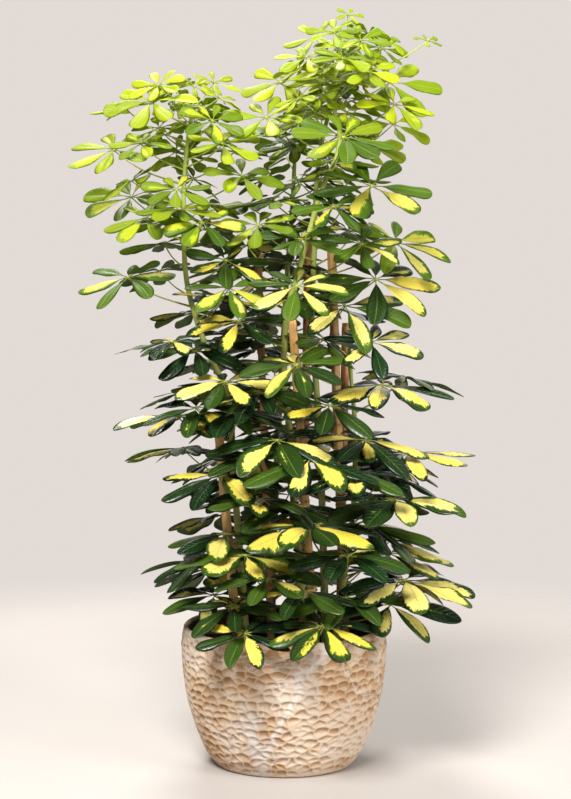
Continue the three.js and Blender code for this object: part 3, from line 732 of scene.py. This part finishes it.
def add_leaflet(skin, leaf, leaflet, nature, form):
    """One leaflet, whose upper and lower sides are two patches of the map on one skin."""
    faces, u, v, under, spots = TEMPLATE
    place = np.stack([ramp(u, PETIOLULE, 1), v, under], axis=1)
    skin.add(blade_points(leaf, leaflet, form, u, v, under), faces, place, nature, *spots)


def add_hub(skin, leaf, nature):
    """The knob where the leaflets meet, and the stalk down to the stem."""
    hub, axis, root = leaf.hub, leaf.axis, leaf.root
    size = clamp(leaf.leaflets[0].length / 90, 0.45, 1.1)
    elbow = mix(root, hub, STALK_ELBOW) - axis * STALK_SAG * np.linalg.norm(hub - root)
    path = smooth_line([root, elbow, hub - axis * NECK, hub + axis * 0.6], 6)
    # The stalk is twice as thick where it leaves the stem.
    radii = STALK_RADIUS * (1 + np.exp(-9 * np.linspace(0, 1, len(path)))) * mix(0.75, 1, size)
    add_tube(skin, path, radii, 8, nature)
    levels, radii = np.array(KNOB).T * size
    add_tube(skin, hub + axis * levels[:, None], radii, 12, nature)


def seen_at(point):
    """The pixel of the picture where a point shows."""
    x, y, z = point - np.array(CAMERA_PLACE)
    pitch = math.radians(CAMERA_PITCH)
    ahead = y * math.cos(pitch) - z * math.sin(pitch)
    rise = y * math.sin(pitch) + z * math.cos(pitch)
    scale = LENS / SENSOR * max(PICTURE) / ahead
    return PICTURE[0] / 2 + scale * x, PICTURE[1] / 2 - scale * rise


def mark_gold(leaves):
    """Makes golden, for each of the spots, the leaflet in front that shows nearest to it."""
    middle = np.array([[0.6], [0.0], [0.0]])
    shown = []
    for leaf in (item for item in leaves if item.front):
        for leaflet in leaf.leaflets:
            point = blade_points(leaf, leaflet, PLAIN_FORM, *middle)[0]
            shown.append((seen_at(point), FORWARD_COUNTS * point[1], leaflet))
    for spot in GOLD_SPOTS:
        free = [item for item in shown if not item[2].golden]
        nearest = min(free, key=lambda item: math.dist(item[0], spot) + item[1])[2]
        nearest.golden = True


def leaflet_nature(leaflet, young, tone, fresh_and_lit, random):
    """How much yellow a leaflet has, its tone, its own chance, and how young its green is, lighter too
    where painted light falls.
    """
    draw, amount = random.random(2)
    gold = 0.3 * amount
    if leaflet.golden:
        gold = mix(0.66, 1.0, amount)
    elif draw < GOLD_BY_CHANCE:
        gold = mix(0.5, 0.95, amount) * mix(1, 0.8, young)
    fresh_and_lit = clamp(fresh_and_lit + random.uniform(-0.18, 0.18))
    return gold, clamp(tone + random.uniform(-0.35, 0.35)), random.random(), fresh_and_lit


def of_stem(leaves, stem):
    return [leaf for leaf in leaves if leaf.stem == stem]


def build_leaves(name, leaves, material):
    """One piece for each stem, with those of its leaves that are among the given ones."""
    for stem in STEMS:
        skin = Skin()
        for leaf in of_stem(leaves, stem):
            random = np.random.default_rng(leaf.number + 40)
            x, _, z = leaf.hub
            tone = random.random()
            # The left of the plant stands in more light, painted as a lighter, fresher green.
            fresh_and_lit = ramp(z + 0.3 * abs(min(x, 0)), FRESH_FROM, FRESH_FULL)
            fresh_and_lit = clamp(fresh_and_lit + random.uniform(-FRESH_SPREAD, FRESH_SPREAD))
            for leaflet in leaf.leaflets:
                nature = leaflet_nature(leaflet, leaf.young, tone, fresh_and_lit, random)
                add_leaflet(skin, leaf, leaflet, nature, leaflet_form(leaf, leaflet, random))
        skin.build(f"{name}_{stem}", material, "foliage", f"stem_{stem}")


# ---- stems, canes and ties ----
def build_wood(leaves, material):
    """The stems with their leaf stalks and hubs."""
    for number, (stem, (line, foot, tip)) in enumerate(STEMS.items()):
        skin = Skin()
        random = np.random.default_rng(number + 90)
        path = smooth_line(line, 14)
        height = path[:, 2]
        share = ramp(height, height[0], height[-1])
        radii = mix(foot, tip, share)
        joint, (near, far) = STEM_JOINTS_FROM, STEM_JOINT_STEPS
        while joint < height[-1]:
            swell = STEM_JOINT_SWELL * np.exp(-((height - joint) / 3.5)**2)
            radii = radii + swell * mix(1, 0.4, share)
            joint += mix(near, far, random.random())
        chance = random.random()
        add_tube(skin, path, radii, STEM_SIDES, [(0, 0, chance, s) for s in share], kind=1.0)
        for leaf in of_stem(leaves, stem):
            age = ramp(leaf.hub[2], 300, 1000)
            add_hub(skin, leaf, (0, random.random(), random.random(), age))
        skin.build(f"stalks_{stem}", material, "foliage", f"stem_{stem}")


def squarish(angles):
    """A square with rounded corners, whose corners reach almost the full radius."""
    angles = angles + math.pi / 4
    return 0.99 / 2**0.3 * (abs(np.cos(angles))**5 + abs(np.sin(angles))**5)**-0.2


def build_canes(material):
    """Squarish canes that swell a little at their joints."""
    for name, (foot, top, across) in CANES.items():
        random = draws(across + top[0] + 200)
        turn = random() * math.pi
        joints = [235 + random() * 60]
        while joints[-1] < top[2] - 40:
            joints.append(joints[-1] + CANE_JOINT_SPACING * (0.85 + random() * 0.3))
        joints.pop()
        heights = np.unique(np.r_[np.arange(foot[2], top[2], CANE_STEP), top[2],
                                  [j + d for j in joints for d in (-5, -2.5, -1, 0, 1, 2.5, 5)]])
        path = mix(*np.array([foot, top], float), ramp(heights, foot[2], top[2])[:, None])
        away = np.min([abs(heights - j) for j in joints], axis=0)
        radii = across / 2 + CANE_JOINT_SWELL * np.exp(-(away / 2.4)**2)
        radii[-1] -= 0.8
        # How far back the cane stands; the bamboo paints the canes at the back browner, as painted
        # shade.
        chance, back = random(), ramp(foot[1], -80, 80)
        nature = [(joint, 0, chance, back) for joint in np.exp(-(away / 4)**2)]
        skin = Skin()
        add_tube(skin, path, radii, CANE_SIDES, nature, squarish(ring_angles(CANE_SIDES) - turn))
        skin.build(f"bamboo_{name}", material, "bamboo", name)


def build_ties(material):
    """Two turns of thin cord round a cane and a stem."""
    for name, (cane, stem, height) in TIES.items():
        foot, top, across = CANES[cane]
        line, wide_foot, tip = STEMS[stem]
        share = ramp(height, line[0][2], line[-1][2])
        ends = [(point_at([foot, top], height), across / 2 + CANE_JOINT_SWELL, 0.5),
                (point_at(line, height), mix(wide_foot, tip, share), -0.5)]
        heading = math.atan2(*(ends[1][0] - ends[0][0])[[1, 0]])
        path = []
        for centre, wide, start in ends:
            angles = heading + math.pi * (start + np.arange(TIE_STEPS + 1) / TIE_STEPS)
            way = np.stack([np.cos(angles), np.sin(angles), 0 * angles], axis=1)
            path.append(centre + (wide + TIE_SLACK) * way)
        path = np.vstack(path + [path[0][:1]])
        skin = Skin()
        for lift in (-TIE_RADIUS, TIE_RADIUS):
            loop = path + (lift + 0.3 * np.sin(np.arange(len(path))))[:, None] * UP
            add_tube(skin, loop, np.full(len(loop), TIE_RADIUS), 8, (0, 0, 0, 0))
        skin.build(f"cord_{name}", material, "tie", name)


# ---- pot and soil ----
def scoop_depth(angle, height):
    """How deep the scoops lie at points of the pot's face, from 0 on a ridge to 1.

    Each scoop takes the points that are nearest to it for its size, so that they meet in arched
    ridges, and is deepest below its upper edge. Says too how high in its scoop a point is.
    """
    random = np.random.default_rng(5)
    low, high = POT_OUTLINE[0][0], POT_OUTLINE[-1][0]
    row_step = (high - low) / SCOOP_ROWS
    far = 9.0
    first, second, rise = (np.full(angle.shape, value) for value in (far, far, 0.0))
    for row in range(-1, SCOOP_ROWS + 1):
        radius = table_at(POT_OUTLINE, low + (row + 0.5) * row_step)
        columns = round(math.tau * radius / SCOOP_WIDTH)
        column_step = math.tau / columns
        for column in range(columns):
            jitter = random.uniform(-0.5, 0.5, 4)
            centre = (column + (row % 2) / 2 + 0.8 * jitter[0]) * column_step
            level = low + (row + 0.5 + 0.8 * jitter[1]) * row_step
            wide = SCOOP_WIDTH / 2 * (1 + 0.5 * jitter[2])
            tall = row_step / 2 * (1 + 0.5 * jitter[2] + 0.3 * jitter[3])
            turn = (angle - centre + math.pi) % math.tau - math.pi
            close = np.nonzero((abs(turn) < column_step * 1.7) & (abs(height - level) < row_step * 1.9))
            dx = turn[close] * table_at(POT_OUTLINE, height[close]) / wide
            dz = (height[close] - level) / tall + SCOOP_ARCH * dx * dx
            away = np.hypot(dx, dz)
            closer = away < first[close]
            second[close] = np.where(closer, first[close], np.minimum(second[close], away))
            first[close] = np.where(closer, away, first[close])
            rise[close] = np.where(closer, dz, rise[close])
    share = ramp(rise, -1, 1)
    bowl = ramp(np.hypot(second - first, 0.16), 0.16, 1.31)
    return bowl * (2 - bowl) * mix(0.2, 1, share), share


def build_pot(material):
    """The pot as rings from the middle of its underside, over its rim, to its floor."""
    (low, _), (high, lip) = POT_OUTLINE[0], POT_OUTLINE[-1]
    rows = [(height, radius, 0) for height, radius in POT_FOOT]
    for height in np.linspace(low, high, POT_STEPS):
        scooped = ramp(height, low, low + 7) * mix(1, RIM_SCOOPED, ramp(height, high - 6, high))
        rows.append((height, table_at(POT_OUTLINE, height), scooped))
    rows += [(height, lip - inward, RIM_SCOOPED * share) for height, inward, share in POT_LIP]
    outer = len(rows) - 1
    rows += [(height, table_at(POT_OUTLINE, height) - POT_WALL - 2, 0) for height in POT_INSIDE]
    rows += [(POT_FLOOR, table_at(POT_OUTLINE, POT_FLOOR) - POT_WALL - 8, 0), (POT_FLOOR, 40, 0)]
    height, radius, scooped = (np.array(column)[:, None] for column in zip(*rows))
    shape = (len(rows), POT_SIDES)
    levels = np.broadcast_to(height, shape).copy()
    depth, rise = scoop_depth(np.broadcast_to(ring_angles(POT_SIDES), shape), levels)
    depth = depth * scooped
    points = ring_points(radius - SCOOP_DEPTH * depth, levels, POT_FOOT[0][0], POT_FLOOR)
    # The rows inside the pot, which its material paints near-black as painted shade.
    inside = np.repeat(np.arange(len(rows)) >= outer, POT_SIDES)
    place = np.stack([depth.ravel(), rise.ravel(), inside], axis=1)
    make_piece("clay_pot", points, closed_faces(*shape), material, "earthenware", "pot",
               place=np.vstack([place, [[0, 0, 0], [0, 0, 1]]]))


def build_soil(material):
    """The soil with its clods, down to the pot's floor."""
    random = np.random.default_rng(8)
    waves = [(random.uniform(-0.375, 0.375, 2), random.uniform(0, 6.28), random.uniform(0.4, 1.4))
             for _ in range(SOIL_WAVES)]
    buried = [(POT_FLOOR + 1, 9), (45, SOIL_GAP), (105, SOIL_GAP)]  # heights, and gap to the wall
    edge = table_at(POT_OUTLINE, SOIL_TOP) - POT_WALL - SOIL_GAP
    share = 1 - np.arange(SOIL_RINGS)[:, None] / SOIL_RINGS
    angles = ring_angles(SOIL_SIDES)
    x, y = np.cos(angles) * edge * share, np.sin(angles) * edge * share
    levels = SOIL_TOP - 3 + SOIL_CROWN * (1 - share**2)
    for (fx, fy), phase, size in waves:
        levels = levels + 0.28 * size * np.sin(fx * x + fy * y + phase)
    levels = levels + random.uniform(0, SOIL_CLODS, levels.shape)
    reach = np.vstack([[[table_at(POT_OUTLINE, height) - POT_WALL - gap] for height, gap in buried],
                       edge * share])
    levels = np.vstack([[[height] * SOIL_SIDES for height, _ in buried], levels])
    make_piece("potting_soil", ring_points(reach, levels, POT_FLOOR + 1, SOIL_TOP + 4),
               closed_faces(*levels.shape), material, "soil", "soil")


# ---- materials ----
class Value:
    """What a material's nodes work out. It can be reckoned with like a number."""

    def __init__(self, shader, socket):
        self.math, self.socket = shader.math, socket

    def __add__(self, other):
        return self.math("ADD", self, other)

    def __sub__(self, other):
        return self.math("SUBTRACT", self, other)

    def __rsub__(self, other):
        return self.math("SUBTRACT", other, self)

    def __mul__(self, other):
        return self.math("MULTIPLY", self, other)

    def __pow__(self, other):
        return self.math("POWER", self, other)

    def __abs__(self):
        return self.math("ABSOLUTE", self)


class Shader:
    """The nodes of a new material or world."""

    def __init__(self, name, kind="materials"):
        self.owner = getattr(bpy.data, kind).new(name)
        self.owner.use_nodes = True
        self.tree = self.owner.node_tree
        self.tree.nodes.clear()

    def node(self, kind, inputs=None, out=0, **settings):
        """One output of a new node, or a list of them where out is a tuple."""
        made = self.tree.nodes.new("ShaderNode" + kind)
        for name, value in settings.items():
            setattr(made, name, value)
        for key, value in (inputs or {}).items():
            if isinstance(value, Value):
                self.tree.links.new(value.socket, made.inputs[key])
            else:
                made.inputs[key].default_value = (*value, 1.0) if isinstance(value, tuple) else value
        if isinstance(out, tuple):
            return [Value(self, made.outputs[key]) for key in out]
        return Value(self, made.outputs[out])

    def math(self, operation, *values, clamped=False):
        return self.node("Math", dict(enumerate(values)), operation=operation, use_clamp=clamped)

    def blend(self, share, a, b):
        return self.node("Mix", {0: share, 6: a, 7: b}, out=2, data_type="RGBA")

    def coats(self, colour, *coats):
        """A colour with others laid over it, each with its mask and its strength."""
        for mask, strength, coat in coats:
            colour = self.blend(mask * strength, colour, coat)
        return colour

    def step(self, value, low, high):
        """From 0 at low to 1 at high, with a soft start and end."""
        return self.node("MapRange", {"Value": value, "From Min": low, "From Max": high},
                         interpolation_type="SMOOTHSTEP")

    def vector(self, *values):
        return self.node("CombineXYZ", dict(enumerate(values)))

    def split(self, vector):
        return self.node("SeparateXYZ", {0: vector}, out=(0, 1, 2))

    def noise(self, place, scale, detail=2.0, roughness=0.5, distortion=0.0):
        return self.node("TexNoise", {"Vector": place, "Scale": scale, "Detail": detail,
                                      "Roughness": roughness, "Distortion": distortion})

    def object_place(self):
        return self.node("TexCoord", out="Object")

    def place(self):
        """Along, across and the kind of surface, as the mesh's points have them."""
        return self.split(self.node("Attribute", out="Vector", attribute_name="place"))

    def nature(self):
        """The four values of nature that the mesh's points have."""
        colour, last = self.node("Attribute", out=("Color", "Alpha"), attribute_name="nature")
        return *self.node("SeparateColor", {0: colour}, out=(0, 1, 2)), last

    def surface(self, colour, roughness, relief, distance, strength=1.0, gloss=0.5):
        """A surface whose relief is distance metres high."""
        bump = self.node("Bump", {"Height": relief, "Distance": distance, "Strength": strength})
        return self.node("BsdfPrincipled", {"Base Color": colour, "Roughness": roughness,
                                            "Specular IOR Level": gloss, "Normal": bump})

    def either(self, share, one, other):
        return self.node("MixShader", {0: share, 1: one, 2: other})

    def finish(self, surface, kind="OutputMaterial"):
        output = self.tree.nodes.new("ShaderNode" + kind)
        self.tree.links.new(surface.socket, output.inputs["Surface"])
        return self.owner


def leaf_material():
    """Waxy green with yellow splashes that are frayed along the side veins."""
    s = Shader("variegated_leaf")
    along, across, under = s.place()
    gold, tone, chance, fresh_and_lit = s.nature()
    off_rib = abs(across)
    vein = along - off_rib * 0.2
    # Noises that run along the side veins, so that the splash frays along them.
    flow = s.vector(vein * 9.0 + chance * 37.0, across * 1.1 + s.math("SIGN", across) * 4.0,
                    tone * 21.0)
    broad = s.noise(flow, 0.45, 1.0)
    fray = s.noise(flow, 1.7, 2.0, 0.6)
    fine = s.noise(flow, 6.0, 2.0, 0.6)
    # The splash is widest in the middle of the blade and on some leaflets off to one side.
    middle = abs(along * 2.0 - 0.86) ** 3.0
    shift = (chance - 0.5) * (fresh_and_lit * 0.9 + 1.1)
    inside = (gold * 2.1 - middle * 0.75 - abs(across - shift) * 0.95
              + broad * 1.1 + fray * 0.9 + fine * 0.5 - 1.87)
    # It leaves a green margin, whose width is the leaflet's own.
    margin = s.math("FRACT", chance * 7.0)
    inside = inside - (1.0 - along) ** 2.0 * off_rib * margin * 2.6
    room = s.math("MINIMUM", 1.0 - off_rib, 2.0 - along * 2.0)
    inside = s.math("MINIMUM", inside, room * 1.9 + fray + fine * 0.6 - margin * 0.5
                    + (1.0 - along) * 0.7 - 1.16)
    splash = s.step(inside, -0.02, 0.04)
    halo = s.step(inside, -0.36, -0.02)
    # Greens, from the near-black of the old leaves low down, darkened as painted shade, to the lime of
    # the young crown.
    rising = s.math("MULTIPLY", fresh_and_lit, 2.0, clamped=True)
    risen = s.math("SUBTRACT", fresh_and_lit * 2.0, 1.0, clamped=True)

    def by_height(low, middle, crown):
        return s.blend(risen, s.blend(rising, low, middle), crown)

    green = by_height(s.blend(tone, (0.002, 0.008, 0.004), (0.007, 0.026, 0.007)),
                      s.blend(tone, (0.022, 0.072, 0.008), (0.11, 0.21, 0.009)),
                      s.blend(tone, (0.26, 0.39, 0.003), (0.62, 0.66, 0.005)))
    lighter = by_height((0.010, 0.036, 0.009), (0.14, 0.26, 0.010), (0.42, 0.62, 0.015))
    rim = by_height((0.022, 0.065, 0.012), (0.2, 0.36, 0.015), (0.40, 0.56, 0.015))
    yellow = s.blend(s.step(fresh_and_lit, 0.2, 0.8),
                     s.blend(tone, (0.79, 0.61, 0.06), (0.81, 0.69, 0.19)), (0.58, 0.64, 0.015))
    pale = s.blend(rising, (0.10, 0.19, 0.03), (0.5, 0.66, 0.08))
    stalk, back = (0.40, 0.46, 0.07), (0.16, 0.25, 0.07)
    patch = s.noise(s.vector(along, across, chance * 50.0), 2.2)
    rib = s.step(off_rib, 0.05, 0.018)
    veins = s.step(s.math("SINE", vein * 62.0), 0.8, 1.0) * s.step(off_rib, 0.95, 0.6)
    lit_side = s.coats(green, (patch, 0.35, lighter), (halo, 0.7, rim), (splash, 1.0, yellow),
                       (rib, 0.55, pale), (veins, 0.14, pale),
                       (s.step(along, 0.04, 0.0), 0.85, stalk))
    colour = s.coats(lit_side, (under, 0.4, back))
    roughness = under * 0.3 + patch * 0.18 + rising * 0.2 + 0.15
    waxy = s.surface(colour, roughness, (patch - veins) * 0.5, 0.0014, 0.6, 0.42)
    glow = s.blend(rising, (0.10, 0.20, 0.01), (0.70, 0.80, 0.012))
    through = s.node("BsdfTranslucent", {"Color": s.blend(0.5, lit_side, glow)})
    return s.finish(s.either(rising * 0.32 + 0.12, waxy, through))


def wood_material():
    """Green bark on the stems, with pale specks, and smooth pale stalks."""
    s = Shader("green_stem")
    along, around, trunk = s.place()
    _, _, chance, young = s.nature()
    streak = s.noise(s.vector(along * 0.03, around * 3.0, chance), 3.0, 3.0, 0.6)
    speck = s.noise(s.object_place(), 420.0, 2.0, 0.6)
    streaked = s.blend(young, (0.40, 0.34, 0.13), (0.34, 0.45, 0.06))
    bark = s.coats(s.blend(young, (0.28, 0.26, 0.08), (0.46, 0.55, 0.10)),
                   (s.step(streak, 0.4, 0.7), 1.0, streaked),
                   (s.step(speck, 0.62, 0.72), 1.0, (0.42, 0.38, 0.2)))
    stalk = s.coats(s.blend(young, (0.2, 0.26, 0.05), (0.42, 0.5, 0.07)),
                    (streak, 0.5, (0.5, 0.52, 0.14)))
    return s.finish(s.surface(s.blend(trunk, stalk, bark), 0.5, streak + speck * 0.4, 0.0008, 0.5))


def bamboo_material():
    """Split bamboo: long fibres, brown joints and small dark knots, browner further back as painted
    shade.
    """
    s = Shader("bamboo")
    along, around, _ = s.place()
    joint, _, chance, shade = s.nature()
    fibre = s.noise(s.vector(along * 0.012, around * 9.0, chance), 4.0, 4.0, 0.7)
    broad = s.noise(s.vector(along * 0.006, around * 2.0, chance), 2.0)
    knot = s.noise(s.vector(along * 0.03, around * 4.0, chance), 4.2, 1.0)
    # A lit tan and a shaded brown of the same bamboo; the canes further back take the brown, as painted
    # shade.
    light = s.blend(broad, (0.62, 0.33, 0.09), (0.74, 0.47, 0.17))
    deep = s.blend(broad, (0.44, 0.16, 0.06), (0.64, 0.33, 0.15))
    colour = s.coats(light, (s.step(shade, 0.6, 1.0), 1.0, deep),
                     (s.step(fibre, 0.5, 0.75), 1.0, (0.36, 0.17, 0.06)),
                     (joint, 0.65, (0.2, 0.09, 0.035)),
                     (s.step(knot, 0.71, 0.76), 1.0, (0.05, 0.025, 0.012)))
    return s.finish(s.surface(colour, 0.48, fibre * 0.5 - s.step(knot, 0.7, 0.76), 0.0008, 0.6))


def pot_material():
    """Sandy earthenware: tan in the scoops, with painted shade under their upper edges, painted light
    where they run out below, painted highlights on the ridges, chalky veins and an inside darkened as
    painted shade.
    """
    s = Shader("hammered_earthenware")
    depth, rise, inside = s.place()
    place = s.object_place()
    x, _, z = s.split(place)
    grain = s.noise(place, 330.0, 3.0, 0.65)
    cloud = s.noise(place, 11.0, 4.0, 0.6, 0.4)
    drift = s.noise(place, 16.0, 4.0, 0.65)
    fringe = s.noise(place, 42.0, 3.0, 0.6)
    tan = s.blend(s.step(cloud, 0.42, 0.58), (0.45, 0.27, 0.14), (0.64, 0.485, 0.345))
    # Painted shade: darker brown under the upper edge of each scoop.
    shaded_hollow = s.step(depth, 0.1, 0.55) * s.step(rise, 0.25, 0.95)
    # Painted light: paler on the lower, upward slope of each scoop.
    spread = s.step(rise + grain * 0.5 - 0.25, 0.5, 0.1)
    # Painted highlight: paler along the ridge crests between the scoops.
    ridge = s.step(depth + fringe * 0.3 - 0.15, 0.2, 0.02) * s.step(cloud, 0.62, 0.44)
    # Two long veins cross the face and meet at its foot, and finer ones wander from them.
    leaning = abs(x - z * 0.5 + drift * 0.09 + 0.007)
    upright = abs(x + z * 0.17 + cloud * 0.07 + 0.002) + s.step(z, 0.10, 0.17) * 0.03
    vein = s.math("MINIMUM", leaning, upright)
    wander = abs(s.noise(place, 7.5, 5.0, 0.6, 0.8) - 0.5)
    chalk = 1.0 - s.step(vein + fringe * 0.06 - 0.028, 0.0, 0.026)
    fine = 1.0 - s.step(s.math("MINIMUM", vein * 0.5, wander * 0.3), 0.0, 0.005)
    pale = s.math("MAXIMUM", chalk * 0.5, s.step(cloud, 0.48, 0.7) * 0.4)
    colour = s.coats(tan, (shaded_hollow, 0.78, (0.27, 0.145, 0.065)), (spread, 0.45, (0.67, 0.54, 0.41)),
                     (ridge, 0.36, (0.72, 0.60, 0.48)), (pale, 1.0, (0.57, 0.525, 0.49)),
                     (fine, 0.5, (0.69, 0.665, 0.645)),
                     (s.step(grain, 0.62, 0.74), 0.6, (0.30, 0.18, 0.09)),
                     # The pot's inside: near-black brown, as painted shade.
                     (inside, 1.0, (0.10, 0.055, 0.028)))
    return s.finish(s.surface(colour, 0.85, grain, 0.0010, 0.5, 0.25))


def soil_material():
    """Dark damp soil with paler crumbs."""
    s = Shader("potting_soil")
    crumb = s.noise(s.object_place(), 160.0, 4.0, 0.7)
    colour = s.blend(s.step(crumb, 0.35, 0.7), (0.012, 0.008, 0.005), (0.07, 0.045, 0.028))
    return s.finish(s.surface(colour, 0.95, crumb, 0.004))


def tie_material():
    """Dark cord with a fine twist."""
    s = Shader("dark_cord")
    along, around, _ = s.place()
    twist = s.math("SINE", along * 3.0 + around * 12.6)
    colour = s.blend(s.step(twist, -0.4, 0.8), (0.012, 0.013, 0.01), (0.05, 0.05, 0.035))
    return s.finish(s.surface(colour, 0.6, twist, 0.0004))


# ---- camera, floor and light, in metres ----
BACKDROP = (0.765, 0.71, 0.67)
AROUND = (0.15, 0.147, 0.142)
FLOOR_REACH = 1.75
FLOOR_FADES_FROM = 1.15
FLOOR_SIDES = 96
# Each lamp's place, the height on the plant's axis that it is aimed at, its width, its power
# in watts and its colour.
LAMPS = {
    "key": ((-0.9, -3.5, 4.6), 0.6, 2.2, 570, (1.0, 0.985, 0.955)),
    "fill": ((3.4, -2.4, 1.8), 0.5, 1.8, 135, (1.0, 0.99, 0.97)),
    "wall": ((0.3, 3.6, 1.9), 0.7, 3.0, 30, (1.0, 0.99, 0.97)),
    "sky": ((-0.6, 2.4, 3.9), 0.9, 1.6, 160, (1.0, 0.99, 0.95)),
}


def make_camera():
    data = bpy.data.cameras.new("camera")
    data.lens = LENS
    data.sensor_width = SENSOR
    data.clip_end = 60
    camera = link("camera", data)
    camera.location = [c * MM for c in CAMERA_PLACE]
    camera.rotation_euler = (math.radians(90 - CAMERA_PITCH), 0, 0)
    bpy.context.scene.camera = camera


def make_floor():
    """A pale round floor that fades into the backdrop."""
    mesh = bpy.data.meshes.new("floor")
    ring = [(math.cos(a) * FLOOR_REACH, math.sin(a) * FLOOR_REACH, 0)
            for a in ring_angles(FLOOR_SIDES)]
    mesh.from_pydata(ring, [], [list(range(FLOOR_SIDES))])
    s = Shader("pale_floor")
    place = s.object_place()
    colour = s.blend(s.noise(place, 2.0, 4.0), (0.40, 0.366, 0.344), (0.455, 0.418, 0.395))
    stone = s.node("BsdfPrincipled", {"Base Color": colour, "Roughness": 0.7})
    away = s.node("VectorMath", {0: place}, out="Value", operation="LENGTH")
    fade = s.step(away, FLOOR_FADES_FROM, FLOOR_REACH)
    mesh.materials.append(s.finish(s.either(fade, stone, s.node("BsdfTransparent"))))
    link("floor", mesh)


def make_lamp(name, place, aim, size, power, colour):
    """A soft round lamp, which the camera doesn't see."""
    data = bpy.data.lights.new(name, "AREA")
    data.shape, data.size, data.energy, data.color = "DISK", size, power, colour
    lamp = link(name, data)
    lamp.location = place
    x, y, z = place
    pitch, yaw = math.atan2(aim - z, math.hypot(x, y)), math.atan2(-y, -x)
    lamp.rotation_euler = (math.pi / 2 + pitch, 0, yaw - math.pi / 2)
    lamp.visible_camera = False


def make_studio():
    """A pale backdrop, a dimmer light from all round, and the soft lamps."""
    s = Shader("studio", "worlds")
    backdrop, around = (s.node("Background", {"Color": colour}) for colour in (BACKDROP, AROUND))
    seen = s.node("LightPath", out="Is Camera Ray")
    bpy.context.scene.world = s.finish(s.either(seen, around, backdrop), "OutputWorld")
    bpy.context.scene.view_settings.view_transform = "Standard"
    for name, lamp in LAMPS.items():
        make_lamp(name, *lamp)


make_camera()
make_floor()
make_studio()
leaves = settle_leaves()
trees = solid_trees()
add_small_leaflets([leaf for leaf in leaves if not leaf.front], trees)
fillers = grow_fillers(trees)
mark_gold(leaves)
leaf_skin = leaf_material()
build_leaves("leaves", leaves, leaf_skin)
build_leaves("inner_leaves", fillers, leaf_skin)
build_wood(leaves + fillers, wood_material())
build_canes(bamboo_material())
build_ties(tie_material())
build_pot(pot_material())
build_soil(soil_material())
